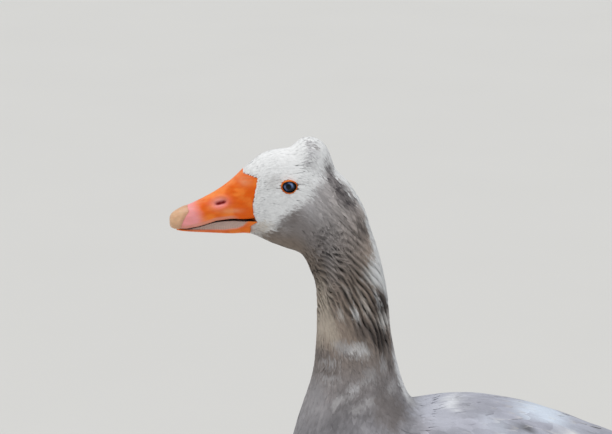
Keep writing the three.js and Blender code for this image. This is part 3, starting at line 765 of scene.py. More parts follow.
def scatter(surface, span, spacing, seed, keep=None, turn=(-np.pi, np.pi), tries=14):
    """Roots spread evenly: random places, as many on each piece of surface as its area asks for,
    are taken in turn where no earlier one is nearer than the spacing there. Of each root that is
    wanted in the end, about `tries` places are tried, and those that keep() refuses fall out."""
    rng = np.random.default_rng(seed)
    grid_s, grid_a = np.meshgrid(np.linspace(*span, 60), np.linspace(*turn, 60), indexing="ij")
    points, _, per_s, per_a, _ = surface.read(grid_s, grid_a)
    gap = spacing(grid_s.ravel(), grid_a.ravel(), points.reshape(-1, 3)).reshape(grid_s.shape)
    density = np.linalg.norm(np.cross(per_s, per_a), axis=-1) / gap**2
    total = density.mean() * (span[1] - span[0]) * (turn[1] - turn[0])
    count = int(total * tries)
    s, a = rng.uniform(*span, count), rng.uniform(*turn, count)
    points, _, per_s, per_a, kind = surface.read(s, a)
    gap = spacing(s, a, points)
    weight = np.linalg.norm(np.cross(per_s, per_a), axis=-1) / gap**2
    wanted = rng.uniform(0, density.max(), count) < weight
    if keep is not None:
        wanted &= keep(s, a, points, kind)
    s, a, points, gap = s[wanted], a[wanted], points[wanted], gap[wanted]
    cell = gap.max()
    home = np.floor(points / cell).astype(int)
    taken, chosen = {}, []
    steps = [np.array(step) - 1 for step in np.ndindex(3, 3, 3)]
    for i in range(len(s)):
        near = [k for step in steps for k in taken.get(tuple(home[i] + step), ())]
        if near and ((points[near] - points[i]) ** 2).sum(axis=1).min() < gap[i] ** 2:
            continue
        taken.setdefault(tuple(home[i]), []).append(i)
        chosen.append(i)
    return s[chosen], a[chosen]


WIDEST = 0.45  # share of a vane's length at which it is widest
STREWN = 1.2 * MM  # how far off a vane its colour may be picked
MAP_RIM = 0.0075  # free rim of the map OFBake


def vane_shape(rows, columns, root, tip, blunt):
    """Shares along and across a vane, and its half width: it widens from the root to its widest
    place and narrows to the tip, as an oval with rows closer there where the vane is blunt. The
    last column is the keel, the middle line of the underside."""
    t = 1 - (1 - np.linspace(0, 1, rows + 1)) ** (1.4 if blunt else 1)
    t = t[:, None] * np.ones(columns + 2)
    c = np.append(np.linspace(-1, 1, columns + 1), 0) * np.ones((rows + 1, 1))
    end = np.clip((t - WIDEST) / (1 - WIDEST), 0, 1)
    narrowed = 1 - np.sqrt(1 - end**2) if blunt else end**1.7
    return t, c, np.where(t < WIDEST, blend(root, 1, ramp(t, 0, WIDEST)), 1 - (1 - tip) * narrowed)


def vane_faces(rows, columns, count):
    """Faces of one closed vane, repeated: the arched top, the underside from each edge to the
    keel, and a cap at each end."""
    across = columns + 2
    top = grid_faces(rows + 1, across)[:, ::-1].reshape(rows, columns + 1, 4)[:, :columns].reshape(-1, 4)
    i = np.arange(rows) * across
    keel, right = i + columns + 1, i + columns
    under = np.vstack([np.stack([i, keel, keel + across, i + across], axis=1),
                       np.stack([keel, right, right + across, keel + across], axis=1)])
    j = np.arange(columns)
    root = np.stack([0 * j + columns + 1, j, j + 1], axis=1)
    tip = np.stack([0 * j + columns + 1, j + 1, j], axis=1) + rows * across
    shift = (np.arange(count) * (rows + 1) * across)[:, None, None]
    quads, ends = np.vstack([top, under]), np.vstack([root, tip])
    flat = np.tile(np.arange(len(quads)) >= len(top), count)
    return (quads[None] + shift).reshape(-1, 4), (ends[None] + shift).reshape(-1, 3), flat


def lay_vanes(name, surface, s, a, length, width, seed, slot, material, depth, swirl=0.0, rows=3,
              columns=2, root=0.4, tip=0.1, camber=0.12, lift=0.0, ragged=0.0, fringe=0.0,
              patch=0.003, shade=0.25, wild=1.0, rise=2.5, proud=0.0, blunt=True, relief=None,
              hollow=None, colours=markings, blotted=0.0):
    """Closed vanes laid on a surface, with their roots at places s and angles a. Each starts at
    its depth under the surface, runs along the surface's own lines, turned by swirl towards the
    back's middle, and comes up to the surface at its tip as 1 - (1 - t) ** rise. There it stands
    off by `proud`, and by `lift` times its length. Its cross-section is a parabola whose edges lie
    lower than its middle by camber times its width, closed below by a keel. root and tip are its
    widths there as shares of the full width, ragged is how unevenly its tip ends, and fringe how
    pale its rim is.

    Each vane has the colour that `colours` gives near its root, going over to that near its tip.
    With `blotted` above 0 this share of the colour is picked point by point. It is painted darker
    towards its root by `shade`, partly as shade under the vanes that overlap it, partly as a
    feather's darker base. `wild` scales all that is random in place, size and tone. Where a relief
    is given, the vanes follow that surface, and are darker by hollow(s, a): painted shade in the
    relief's hollows, and painted light on its crests where that is below 0. `patch` is the size of
    one vane in the map OFBake, where each lies at its own angle and place."""
    rng = np.random.default_rng(seed)
    count = len(s)

    def each(value):
        """One number for each vane, as (count, 1, 1)."""
        return np.broadcast_to(value, count).reshape(count, 1, 1)

    length, width, depth, camber, fringe, lift, proud = (
        each(x) for x in (length, width, depth, camber, fringe, lift, proud))
    t, c, wide = vane_shape(rows, columns, root, tip, blunt)
    _, normal, per_s, per_a, _ = surface.read(s, a)
    ahead = unit(per_s)
    upward = -np.sign(np.mod(a + np.pi, TURN) - np.pi)[:, None] * unit(
        per_a - (per_a * ahead).sum(axis=1, keepdims=True) * ahead)
    angle = (swirl + rng.normal(0, 0.09 * wild, count))[:, None]
    way = np.cos(angle) * ahead + np.sin(angle) * upward
    across = np.cross(normal, way)
    loose = rng.random((count, 1, columns + 2))
    loose[..., -1] = loose[..., columns // 2]
    size = each(rng.uniform(1 - 0.12 * wild, 1 + 0.12 * wild, count))
    run = size * (length * t - width * wide * t**2 * (0.45 * np.abs(c) ** 2.2 + ragged * loose))
    aside = width * size / 2 * c * wide
    move = run[..., None] * way[:, None, None] + aside[..., None] * across[:, None, None]
    # The step over the surface as changes of s and a: two linear equations, solved for each point.
    ss, sa, aa = (each((x * y).sum(1)) for x, y in ((per_s, per_s), (per_s, per_a), (per_a, per_a)))
    det = np.maximum(ss * aa - sa * sa, 1e-12)
    along_s = (move * per_s[:, None, None]).sum(-1)
    along_a = (move * per_a[:, None, None]).sum(-1)
    to_s = s[:, None, None] + (aa * along_s - sa * along_a) / det
    to_a = a[:, None, None] + (ss * along_a - sa * along_s) / det
    point, out, _, _, _ = (relief or surface).read(to_s, to_a)
    beyond = to_s - np.clip(to_s, 0, (surface.rows - 1) / surface.rows_each)
    low = depth * (1 - t) ** rise
    high = proud - low + lift * length * t**3 * (1 + 0.5 * rng.normal(0, wild, (count, 1, 1)))
    high = high - camber * width * c**2 * wide + 0.08 * MM * rng.normal(0, wild, (count, 1, 1))
    high[..., -1] -= ((0.25 * MM + 0.03 * width) * (1 - 0.9 * t**6))[..., -1]
    grid = point + beyond[..., None] * per_s[:, None, None] + high[..., None] * out
    hues = [colours(grid[:, k, columns // 2] + rng.normal(0, STREWN, (count, 3)), s, a) for k in (1, rows)]
    hue = blend(hues[0][:, None, None], hues[1][:, None, None], np.clip(1.3 * t - 0.3, 0, 1)[..., None])
    if blotted:
        spots = (grid + rng.normal(0, STREWN, (count, 1, 1, 3))).reshape(-1, 3)
        hue = blend(hue, colours(spots, to_s.ravel(), to_a.ravel()).reshape(*grid.shape), blotted)
    # Painted shade towards the root, where other vanes overlap it, together with a feather's darker base;
    # below it, painted shade in the relief's hollows and painted light on its crests.
    dim = 1 - shade * (1 - t) ** 1.5
    if hollow is not None:
        dim = dim * (1 - hollow(to_s, to_a))
    dim = dim * (1 + 0.05 * rng.normal(0, wild, (count, 1, 1)))
    tint = np.empty((count, rows + 1, columns + 2, 4))
    tint[..., :3] = np.clip(hue * dim[..., None], 0, 1)
    tint[..., 3] = fringe
    spread = np.stack([np.mod(a / TURN + 0.5, 1), s / LAST], axis=1) * (1 - 2 * MAP_RIM) + MAP_RIM
    local = np.stack([c / 2, t - 0.5], axis=-1)
    bake = spread[:, None, None] + patch * local
    vane = np.broadcast_to(local + 0.5, grid.shape[:3] + (2,))
    quads, triangles, flat = vane_faces(rows, columns, count)
    piece = put_mesh(name, grid.reshape(-1, 3), quads, triangles, tint.reshape(-1, 4),
                     vane.reshape(-1, 2), bake.reshape(-1, 2), flat)
    dress(piece, material, slot)
    return piece


# ---- skin ---------------------------------------------------------------------------------

def first_crossing(read, turn, behind, last):
    """For each angle, the place up to `last` where a surface first passes a line: there
    behind(points) gets above 0."""
    places = np.linspace(0, last, 400)
    passed = behind(read(places[:, None] * np.ones(len(turn)), np.ones((400, 1)) * turn)) > 0
    return places[np.where(passed.any(axis=0), passed.argmax(axis=0), 399)]


LEG_X, STRIDE = 50, 7  # millimetres from the middle, and by which each foot is ahead or behind
HIP, HOCK, SHANK_END, ANKLE = (2, 178), (34, 104), (11, 13), (10, 7.6)  # place along Y and height
THIGH_RINGS = 9


def joint_at(side, place, shift=1.0):
    """A point of the leg's middle line, with a share of the stride."""
    y, z = place
    return np.array([side * LEG_X, y - shift * side * STRIDE, z])


def thigh_points(side, inset=0.0):
    """A taper with oval section from the hip to the hock, let in by less towards the hock."""
    t = np.linspace(0, 1, THIGH_RINGS)
    path = blend(joint_at(side, HIP, 0.5), joint_at(side, HOCK), t[:, None])
    let_in = inset * blend(1, 0.35, t)
    return tube(path, blend(29, 9.5, t**0.8) - let_in, blend(44, 12, t**0.8) - let_in, 40) * MM


def skin():
    """The body's outer surface let in by the coat's depth, with the thighs let in the same way,
    joined by a fine remesh into one closed skin. Where the neck is roped it is painted darker, as
    shade in the furrows between the ropes and as the darker down that shows there, and it is orange
    at its front rim, where the bill starts."""
    places = np.linspace(0, LAST, len(radius))[:, None] * np.ones(SIDES)
    depth = coat_depth(shell.points, places)
    inner = Surface(centre[:, None] + np.maximum(radius - depth, 3 * MM)[..., None] * ray, RINGS_EACH)
    turn = around(SIDES)
    first = first_crossing(lambda at, a: shell.read(at, a)[0], turn, lambda p: behind_edge(p) + 0.4 * MM, 4)
    share = np.linspace(0, 1, 260)[:, None]
    sets = [inner.read(first + (LAST - first) * share, turn * np.ones_like(share))[0]]
    sets += [thigh_points(side, 5) for _, side in SIDES_OF_BIRD]
    piece, spots = fused("skin", sets, 2.4 * MM, 3)
    s, a = nearest_place(spots)
    # Painted shade: the skin is darker where the neck is roped, for the furrows between the ropes, together
    # with the darker down there.
    hue = markings(spots, s, a) * (1 - 0.7 * roped(s, a))[:, None]
    hue = blend(colour(170, 82, 34), hue, ramp(behind_edge(spots), 0.6 * MM, 1.8 * MM)[:, None])
    set_tint(piece.data, hue)
    dress(piece, skin_finish(), "body_feathers", "head", "crest", "neck_upper", "neck_middle",
          "neck_lower", "trunk", "rump", "thigh_left", "thigh_right")


def nearest_place(points):
    """Place and angle of points near the outer surface: of every third ring the one whose plane
    is nearest, counting twice how far a point lies outside it, and the angle in that plane."""
    up = unit(ray[:, 0, 1:])
    way = np.stack([up[:, 1], -up[:, 0]], axis=1)
    way *= np.sign((way * np.gradient(centre[:, 1:], axis=0)).sum(axis=1, keepdims=True))
    best, place, turn = np.full(len(points), 1e9), np.zeros(len(points)), np.zeros(len(points))
    for i in range(0, len(centre), 3):
        offset = points[:, 1:] - centre[i, 1:]
        height, ahead = offset @ up[i], offset @ way[i]
        away = np.abs(ahead) + np.maximum(np.hypot(height, points[:, 0]) - radius[i].max(), 0) * 2
        closer = away < best
        best = np.where(closer, away, best)
        place = np.where(closer, i / RINGS_EACH, place)
        turn = np.where(closer, np.arctan2(points[:, 0], height), turn)
    return place, turn


# ---- feathers of head, neck and body ------------------------------------------------------

EYE_OVAL = np.array([7.3, 6.3]) * MM  # half length and half height of what is bare of feathers


def stopped_at_eye(s, a, points, length):
    """Lengths cut short where a feather would run over the eye's oval, and 0 where one would start
    on it. In the side view the way from the root meets the oval where a quadratic is zero."""
    p = (points[:, 1:] - EYE_AT[1:]) / EYE_OVAL
    d = unit(shell.read(s, a)[2])[:, 1:] / EYE_OVAL
    on_side = np.abs(points[:, 0]) > 14 * MM
    dd, pd, outside = (d * d).sum(axis=1), (p * d).sum(axis=1), (p * p).sum(axis=1) - 1
    root = pd * pd - dd * outside
    meets = on_side & (root > 0) & (pd < 0)
    reach = np.where(meets, (-pd - np.sqrt(np.maximum(root, 0))) / dd, 1.0)
    on_eye = on_side & (outside < 0) & ~((pd > 0) & (outside > -0.3))
    return np.where(on_eye, 0, np.minimum(length, np.maximum(reach, 0)))


def lock_start(a):
    """Place where the neck's locks begin: at the throat first, on the nape last."""
    return 4.4 + 2.3 * ((1 + np.cos(a)) / 2) ** 1.5


def head_feathers():
    """Small feathers that lie flat, smallest at the bill's root and cut short at the eye. They
    stand off on the crest and down the nape behind it."""
    finish = feather_finish("head_plumage", 4, 2, 0.04, soft=0.03)

    def off_edge(points):
        """0 at the bill's root, 1 from 9 mm behind it."""
        return ramp(behind_edge(points), 0, 9 * MM)

    def spacing(s, a, points):
        """About half a feather's width, and less at the bill's root."""
        return width_of(s) * blend(0.45, 0.56, off_edge(points))

    def on_head(s, a, points, kind):
        """Behind the bill's root and before the neck's locks."""
        return (behind_edge(points) > 0) & (s < lock_start(a) + 0.5)

    s, a = scatter(shell, (0.15, 7.6), spacing, 11, on_head)
    points = shell.read(s, a)[0]
    length = stopped_at_eye(s, a, points, sized(LENGTH, s) * blend(0.55, 1, off_edge(points)))
    kept = length > 1.2 * MM
    s, a, length, points = s[kept], a[kept], length[kept], points[kept]
    grown = ramp(s, 3.6, 6)
    fluff = 2.4 * ramp(s, 4.8, 5.3) * (1 - ramp(s, 5.8, 6.6)) + 1.1 * bell(s, 3.4, 0.38)
    fluff = (fluff + 0.6 * bell(s, 4.75, 0.25)) * (1 - ramp(from_back(a), 0.5, 1.2)) * MM
    width = np.minimum(width_of(s) * blend(0.8, 1, off_edge(points)), 0.7 * length)
    lay_vanes("head_feathers", shell, s, a, length, width, 12, "head_feathers", finish,
              blend(0.5, 1.4, grown) * MM, tip=0.12, camber=blend(0.02, 0.06, grown), shade=0.06,
              wild=0.7, lift=blend(-0.012, 0.01, grown), proud=fluff, blunt=False, relief=furrowed,
              hollow=furrow_shade)


# ---- neck ---------------------------------------------------------------------------------

ROPE_WIDTH = 0.165  # radians round the neck
FURROW_DEPTH = 2.8 * MM


def rope_drift():
    """Places along the neck, and the angle that a rope has drifted by there: it leans towards the
    nape, less and less on the way down."""
    places = np.linspace(3.5, 11, 301)
    swirl = np.interp(places, [4.2, 5.5, 7, 8.5, 9.5], [0.85, 0.6, 0.42, 0.26, 0.1])
    _, _, per_s, per_a, _ = shell.read(places, np.full_like(places, np.pi / 2))
    rate = np.tan(swirl) * np.linalg.norm(per_s, axis=1) / np.linalg.norm(per_a, axis=1)
    return places, np.concatenate([[0], np.cumsum((rate[1:] + rate[:-1]) / 2 * np.diff(places))])


def rope_phase(s, a):
    """Number of the rope at a place: equal steps of angle plus drift, bent by slow noise. Whole
    numbers lie on the furrows."""
    turn = from_back(a)
    spot = np.stack([s * 0.9, turn * 3.2, 0 * s], axis=-1)
    bent = 0.8 * cloud(spot, 1.0, 51) + 0.2 * cloud(spot * 2.3, 1.0, 52)
    return (turn + np.interp(s, *DRIFT)) / ROPE_WIDTH + bent


def rope_angle(s, a):
    """How far a rope turns from the body's line towards the nape: the angle along which the phase
    stays the same, from its slopes along s and a over a small step."""
    step = 1e-3
    rate_s = (rope_phase(s + step, a) - rope_phase(s - step, a)) / (2 * step)
    rate_a = (rope_phase(s, a + step) - rope_phase(s, a - step)) / (2 * step)
    _, _, per_s, per_a, _ = shell.read(s, a)
    return np.arctan2(rate_s / np.abs(rate_a) * np.linalg.norm(per_a, axis=1), np.linalg.norm(per_s, axis=1))


def roped(s, a):
    """How strongly the coat is parted into ropes: not on the head, nor below the neck."""
    turn = from_back(a)
    low_end = blend(9.3, 7.7, ramp(turn, 0.6, 2.4))
    return ramp(s - lock_start(turn), -0.5, 0.3) * (1 - ramp(s, low_end - 0.5, low_end + 0.5))


def off_rope(s, a):
    """Distance from a rope's crest, 0 there and 1 in the middle of the furrow beside it."""
    phase = rope_phase(s, a)
    return 2 * np.abs(phase - np.floor(phase) - 0.5)


def furrow(s, a):
    """Depth of the furrows between the neck's ropes, from 0 on a rope's crest to 1 at the deepest.
    Noise breaks them, and a stretch of the nape has only faint ones."""
    turn = from_back(a)
    broken = 0.85 + 0.5 * cloud(np.stack([s * 1.6, turn * 9, 0 * s], axis=-1), 1.0, 53)
    nape = (1 - ramp(turn, 0.5, 0.95)) * ramp(s, 6.3, 6.9) * (1 - ramp(s, 7.8, 8.2))
    return off_rope(s, a) ** 1.7 * roped(s, a) * np.clip(broken * (1 - 0.85 * nape), 0.2, 1)


def furrow_shade(s, a):
    """Painted shade and light: how much darker a feather is painted in a furrow, and how much paler on a
    rope's crest.
    """
    return 1.12 * furrow(s, a) ** 0.8 - 0.13 * roped(s, a)


def furrowed_surface():
    """The outer surface from the bill to the breast, let in by the furrows."""
    last, rows_each, columns = 12, 24, 512
    s = np.linspace(0, last, last * rows_each + 1)[:, None] * np.ones(columns)
    a = around(columns) * np.ones_like(s)
    points, normal, _, _, _ = shell.read(s, a)
    return Surface(points - (FURROW_DEPTH * furrow(s, a))[..., None] * normal, rows_each)


DRIFT = rope_drift()
furrowed = furrowed_surface()


def neck_feathers():
    """Narrow locks that follow the ropes and leave the furrows between them open."""
    finish = feather_finish("neck_plumage", 6, 4, 0.12)

    def on_rope(s, a, points, kind):
        """Within two thirds of a rope's half width of its crest, where the neck is roped."""
        off_furrow = off_rope(s, a) < blend(1.1, 0.66, roped(s, a))
        return off_furrow & (s > lock_start(a) - 0.2) & (s < 10.1 + 0.3 * np.sin(9 * a))

    for label, flank in SIDES_OF_BIRD:
        s, a = scatter(shell, (4.2, 10.4), lambda s, a, p: 0 * s + 1.45 * MM, 23, on_rope, (0, np.pi))
        length, width = (blend(*sizes, roped(s, a)) * MM for sizes in ((9, 11), (2.8, 2.2)))
        lay_vanes(f"neck_feathers_{label}", shell, s, flank * a, length, width, 24, "neck_feathers",
                  finish, 0.9 * MM, swirl=rope_angle(s, a), root=0.7, tip=0.05, camber=0.1,
                  shade=0.15, wild=0.6, blunt=False, relief=furrowed, hollow=furrow_shade)


def body_feathers():
    """Soft feathers from the lower neck to the rump. On the back they are large, with pale
    fringes, on the belly smaller and white."""
    breast = feather_finish("breast_plumage", 14, 7, 0.05, soft=0.05)
    finish = feather_finish("body_plumage", 22, 9, 0.08)

    def off_wing(s, a, points, kind):
        """Where the outer surface is less than half a wing's."""
        return kind < 0.5

    def over_wing(s, a):
        """Raised where the feather's tip lies on the wing, so that it covers the wing's front."""
        ahead = s + 0.8 * sized(LENGTH, s) / np.linalg.norm(shell.read(s, a)[2], axis=1)
        return 0.9 * MM * ramp(shell.read(ahead, a)[4], 0.1, 0.6)

    def half_width(s, a, points):
        """Half a feather's width, as the distance between roots."""
        return width_of(s) * 0.5

    s, a = scatter(shell, (9.6, 14), half_width, 31, off_wing)
    lay_vanes("breast_feathers", shell, s, a, sized(LENGTH, s), width_of(s), 32, "body_feathers",
              breast, 1.4 * MM, rows=4, columns=4, root=0.5, tip=0.12,
              camber=blend(0.012, 0.05, ramp(s, 12, 13.4)), shade=0.04, wild=0.6, ragged=0.1,
              lift=-0.014, proud=over_wing(s, a), blotted=0.7)
    s, a = scatter(shell, (13.4, 20.9), half_width, 33, off_wing)
    back = (1 - ramp(np.abs(a), 0.9, 1.5)) * ramp(s, 13.4, 14.4)
    lay_vanes("trunk_feathers", shell, s, a, sized(LENGTH, s) * blend(1, 1.1, back), width_of(s), 34,
              "body_feathers", finish, blend(1.6, 2.6, back) * MM, rows=5, columns=4, root=0.5,
              tip=0.15, camber=0.05, rise=3.5, ragged=0.12, fringe=back * 0.3, shade=0.05, wild=0.7,
              lift=-0.012, proud=over_wing(s, a), blotted=0.7)


def flank_feathers():
    """Long soft feathers that rise from the flank over the lower edge of the folded wing, in
    threes: their roots lie at three angles below the last one that is on the wing."""
    finish = feather_finish("flank_plumage", 26, 9, 0.08)
    s = np.repeat(np.arange(12.6, 17.6, 0.17), 3)
    turn = np.linspace(0.9, 2.9, 160)
    kind = shell.read(s[:, None] * np.ones(160), np.ones((len(s), 1)) * turn)[4]
    edge = turn[159 - (kind[:, ::-1] > 0.5).argmax(axis=1)]
    rng = np.random.default_rng(61)
    s = s + rng.normal(0, 0.03, len(s))
    a = edge + np.tile([0.02, 0.12, 0.22], len(s) // 3) + rng.normal(0, 0.015, len(s))
    for label, flank in SIDES_OF_BIRD:
        lay_vanes(f"flank_feathers_{label}", shell, s, flank * a, 46 * MM, 24 * MM, 62, "body_feathers",
                  finish, 2.5 * MM, swirl=0.3, rows=6, columns=4, root=0.5, tip=0.15, camber=0.04,
                  rise=3, ragged=0.15, fringe=0.25, shade=0.05, wild=0.8, lift=-0.01)


def thigh_feathers():
    """Short feathers down each thigh to the hock."""
    finish = feather_finish("thigh_plumage", 12, 6, 0.08)

    def taper(s, upper, lower):
        """Millimetres that go over from the upper thigh's to those at the hock."""
        return blend(upper, lower, ramp(s, 4, 8)) * MM

    def cloudy_white(points, s, a):
        """White with slow noise."""
        return WHITE * (1 + 0.06 * cloud(points, 9 * MM, 6))[:, None]

    for label, side in SIDES_OF_BIRD:
        thigh = Surface(oriented(thigh_points(side)), 1)
        s, a = scatter(thigh, (0.3, THIGH_RINGS - 1.2), lambda s, a, p: taper(s, 4.6, 2.6), 71)
        lay_vanes(f"thigh_feathers_{label}", thigh, s, a, taper(s, 15, 6.5), taper(s, 9, 4.2), 72,
                  "body_feathers", finish, 1.2 * MM, rows=4, columns=4, root=0.6, tip=0.15,
                  camber=0.06, ragged=0.12, shade=0.03, wild=0.7, lift=-0.025, colours=cloudy_white)


# ---- wings and tail -----------------------------------------------------------------------

# The folded left wing: place along Y, upper and lower point [x, z], half thickness.
WING_SECTIONS = [
    (-126, 50, 278, 60, 246, 12), (-104, 50, 309, 74, 214, 27), (-56, 54, 331, 86, 186, 37),
    (0, 52, 332, 88, 176, 40), (60, 45, 317, 84, 184, 38), (120, 33, 297, 70, 204, 32),
    (180, 18, 284, 53, 226, 22), (235, 9, 273, 37, 246, 9), (286, 8, 266, 24, 255, 2.6),
]
# The tail: place along Y, height, half width, half thickness.
TAIL_SECTIONS = [
    (180, 243, 22, 13), (208, 244, 30, 11), (238, 243.5, 42, 7), (264, 243.5, 54, 3.6),
    (283, 244.5, 57, 1.9), (296, 246, 54, 1.1),
]
ROWS_EACH = 16  # rows of a wing's or the tail's table for each stretch between sections
OVAL = around(96)


def stretched(sections):
    """Each measure of some sections in metres, as a column of rows along the piece."""
    places = np.linspace(0, len(sections) - 1, (len(sections) - 1) * ROWS_EACH + 1)
    return (v[:, None] * MM for v in along(sections, places).T)


def wing_surface(flank):
    """The folded wing's surface. Each section is an oval along the line from its lower to its
    upper point, with the angle 0 at the top and a quarter turn on the outside."""
    y, top_x, top_z, low_x, low_z, thick = stretched(WING_SECTIONS)
    reach_x, reach_z = (top_x - low_x) / 2, (top_z - low_z) / 2
    long = np.hypot(reach_x, reach_z)
    x = (top_x + low_x) / 2 + reach_x * np.cos(OVAL) + reach_z / long * thick * np.sin(OVAL)
    z = (top_z + low_z) / 2 + reach_z * np.cos(OVAL) - reach_x / long * thick * np.sin(OVAL)
    grid = np.stack([x, y + 0 * x, z], axis=-1)
    if flank < 0:
        grid = grid[:, -np.arange(len(OVAL))] * [-1, 1, 1]
    return Surface(grid, ROWS_EACH)


def station(y):
    """Place along the wing's sections for a place along Y in millimetres."""
    return np.interp(y, [row[0] for row in WING_SECTIONS], np.arange(len(WING_SECTIONS)))


def feather_rows(surface, places, span, step):
    """Roots in rows across a surface: each row is parted evenly by true distance, and every
    second row is set half a step over."""
    found_s, found_a = [], []
    turn = np.linspace(*span, 200)
    for i, place in enumerate(places):
        points = surface.read(np.full(200, place), turn)[0]
        run = np.concatenate([[0], np.cumsum(np.linalg.norm(np.diff(points, axis=0), axis=1))])
        at = np.arange(0.25 * step[i] * (1 + 2 * (i % 2)), run[-1], step[i])
        found_s.append(np.full(len(at), place))
        found_a.append(np.interp(at, run, turn))
    return np.concatenate(found_s), np.concatenate(found_a)


def wing_colours(points, s, a):
    """Grey feathers, each a little different, darker to the rear, with white ones among them."""
    shade = 1 + 0.12 * cloud(points, 9 * MM, 15) + 0.1 * cloud(points, 45 * MM, 16)
    hue = blend(WING, QUILL_GREY, ramp(points[:, 1], 20 * MM, 120 * MM)[:, None]) * shade[:, None]
    pied = ramp(cloud(points, 30 * MM, 17) + 0.3 * cloud(points, 9 * MM, 18), 0.35, 0.5)
    return blend(hue, WHITE, 0.85 * pied[:, None])


def wing_feathers():
    """On each folded wing, rows of coverts that grow larger towards the rear, over the long
    tertials and secondaries, over the primaries that cross the tail."""
    coverts = feather_finish("covert_plumage", 30, 10, 0.10, shaft=0.2, soft=0.1)
    quills = feather_finish("quill_plumage", 80, 12, 0.12, shaft=0.5, soft=0.12)
    primary_turn = np.array([-2.75, -2.1, -1.4, -0.7, -0.1, 0.45, 1.0, 1.5, 2.0, 2.5, 2.95])
    secondary_turn = np.linspace(2.85, 1.1, 8)
    tertial_turn = np.array([1.15, 0.85, 0.55, 0.25, -0.05])
    for label, flank in SIDES_OF_BIRD:
        wing = wing_surface(flank)
        rng = np.random.default_rng(41)

        def blades(kind, y, a, length, width, depth, proud, hue, root, tip):
            """Long quills at places y and angles a, measured in millimetres."""
            def varied(points, s, a):
                """The quills' colour, a little different for each."""
                return hue * (1 + 0.08 * rng.normal(0, 1, (len(a), 1)))

            lay_vanes(f"{kind}_{label}", wing, station(y), flank * a, length * MM, width * MM, 43,
                      "wing_feathers", quills, depth * MM, rows=14, columns=6, root=root, tip=tip,
                      camber=0.03, fringe=0.9, shade=0.15, wild=0.35, patch=0.02, proud=proud * MM,
                      ragged=0.03, colours=varied)

        blades("primaries", np.full(len(primary_turn), 132.0), primary_turn,
               118 + 32 * np.cos(primary_turn / 2 - 0.2) ** 2, 21, 4, -2.0, PRIMARY_GREY, 0.8, 0.5)
        blades("secondaries", 58 + 10 * np.cos(secondary_turn), secondary_turn,
               118 - 22 * (secondary_turn - 1.15), 31, 5, np.linspace(-1.6, -0.6, 8), QUILL_GREY,
               0.7, 0.75)
        blades("tertials", 62 + 6 * tertial_turn, tertial_turn, 128 + 12 * tertial_turn, 40, 5,
               np.linspace(-0.5, 0.3, 5), QUILL_GREY, 0.6, 0.7)
        y = -100 + np.cumsum(np.linspace(10, 18, 13)) - 10
        s, a = feather_rows(wing, station(y), (0.0, 2.95), np.linspace(13, 21, 13) * MM)
        s, a = s + rng.normal(0, 0.03, len(s)), a + rng.normal(0, 0.015, len(a))
        length, width = (blend(*sizes, ramp(s, 0, 4)) * MM for sizes in ((26, 60), (19, 30)))
        piece = lay_vanes(f"wing_coverts_{label}", wing, s, flank * a, length, width, 42,
                          "wing_feathers", coverts, 3.5 * MM, rows=7, columns=6, tip=0.3,
                          camber=0.04, ragged=0.06, fringe=0.7, shade=0.12, wild=0.6, rise=3,
                          patch=0.008, lift=-0.006, proud=-0.6 * MM, colours=wing_colours)
        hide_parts(f"wing_{label}", f"wing_tip_{label}")


def tail_feathers():
    """A fan of broad tail feathers above and below, grey with pale edges, the middle ones on top."""
    y, z, half, thick = stretched(TAIL_SECTIONS)
    x = half * np.sin(OVAL)
    tail = Surface(np.stack([x, y + 0 * x, z + thick * np.cos(OVAL)], axis=-1), ROWS_EACH)
    finish = feather_finish("tail_plumage", 50, 10, 0.12, shaft=0.5, soft=0.1)
    share = np.linspace(-0.94, 0.94, 14)
    share = share[np.argsort(-np.abs(share))]
    a = np.concatenate([np.arcsin(share), np.pi - np.arcsin(share)])
    off_middle = np.tile(np.abs(share), 2)

    def cloudy_grey(points, s, a):
        """Grey with slow noise."""
        return QUILL_GREY * (1 + 0.15 * cloud(points, 12 * MM, 83))[:, None]

    piece = lay_vanes("tail_feathers", tail, np.full(len(a), 0.8), a, (90 - 22 * off_middle**2.2) * MM,
                      19 * MM, 81, "wing_feathers", finish, 0.5 * MM, rows=14, columns=6, root=0.6,
                      tip=0.3, camber=0.03, ragged=0.03, fringe=1.0, shade=0.1, wild=0.3, patch=0.02,
                      proud=(-0.2 - off_middle) * MM, colours=cloudy_grey)
    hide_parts("tail")


skin()
head_feathers()
neck_feathers()
body_feathers()
flank_feathers()
thigh_feathers()
wing_feathers()
tail_feathers()


# ---- legs ---------------------------------------------------------------------------------

# Toes: length from the ankle, angle outwards from straight ahead, radius at the root.
TOES = {"inner": (62, -0.46, 5), "middle": (80, 0.03, 5.6), "outer": (73, 0.5, 5),
        "hind": (22, np.pi + 0.5, 3.4)}
TOE_TIP = 3.1  # radius
WEB_THICK = 1.8
CLAW_LONG = 9
LEG_ORANGE = colour(226, 112, 32)
WEB_ORANGE = colour(232, 128, 52)


def on_toe(side, toe, reach):
    """Places on the floor at a distance from the ankle, in millimetres, in a toe's direction."""
    angle = TOES[toe][1]
    way = np.array([side * np.sin(angle), -np.cos(angle)])
    return joint_at(side, ANKLE)[:2] + reach[..., None] * way


def toe_path(side, toe, share):
    """Middle line of a toe at shares of its length: it sinks from the ankle to the floor."""
    height = blend(7.65, 1.86, share**0.6)[..., None]
    return np.concatenate([on_toe(side, toe, share * TOES[toe][0]), height], axis=-1) * MM


def toe_tube(side, toe):
    """A toe whose radius waves with its knuckles, and whose end is round."""
    t = np.linspace(0, 1, 25)
    thick = blend(TOES[toe][2], TOE_TIP, t) * (1 + 0.1 * np.cos(3.5 * TURN * t))
    thick *= np.sqrt(np.clip(1 - np.clip((t - 0.95) / 0.06, 0, 1) ** 2, 0, 1))
    return tube(toe_path(side, toe, t), thick * MM, thick * 0.92 * MM, 20)


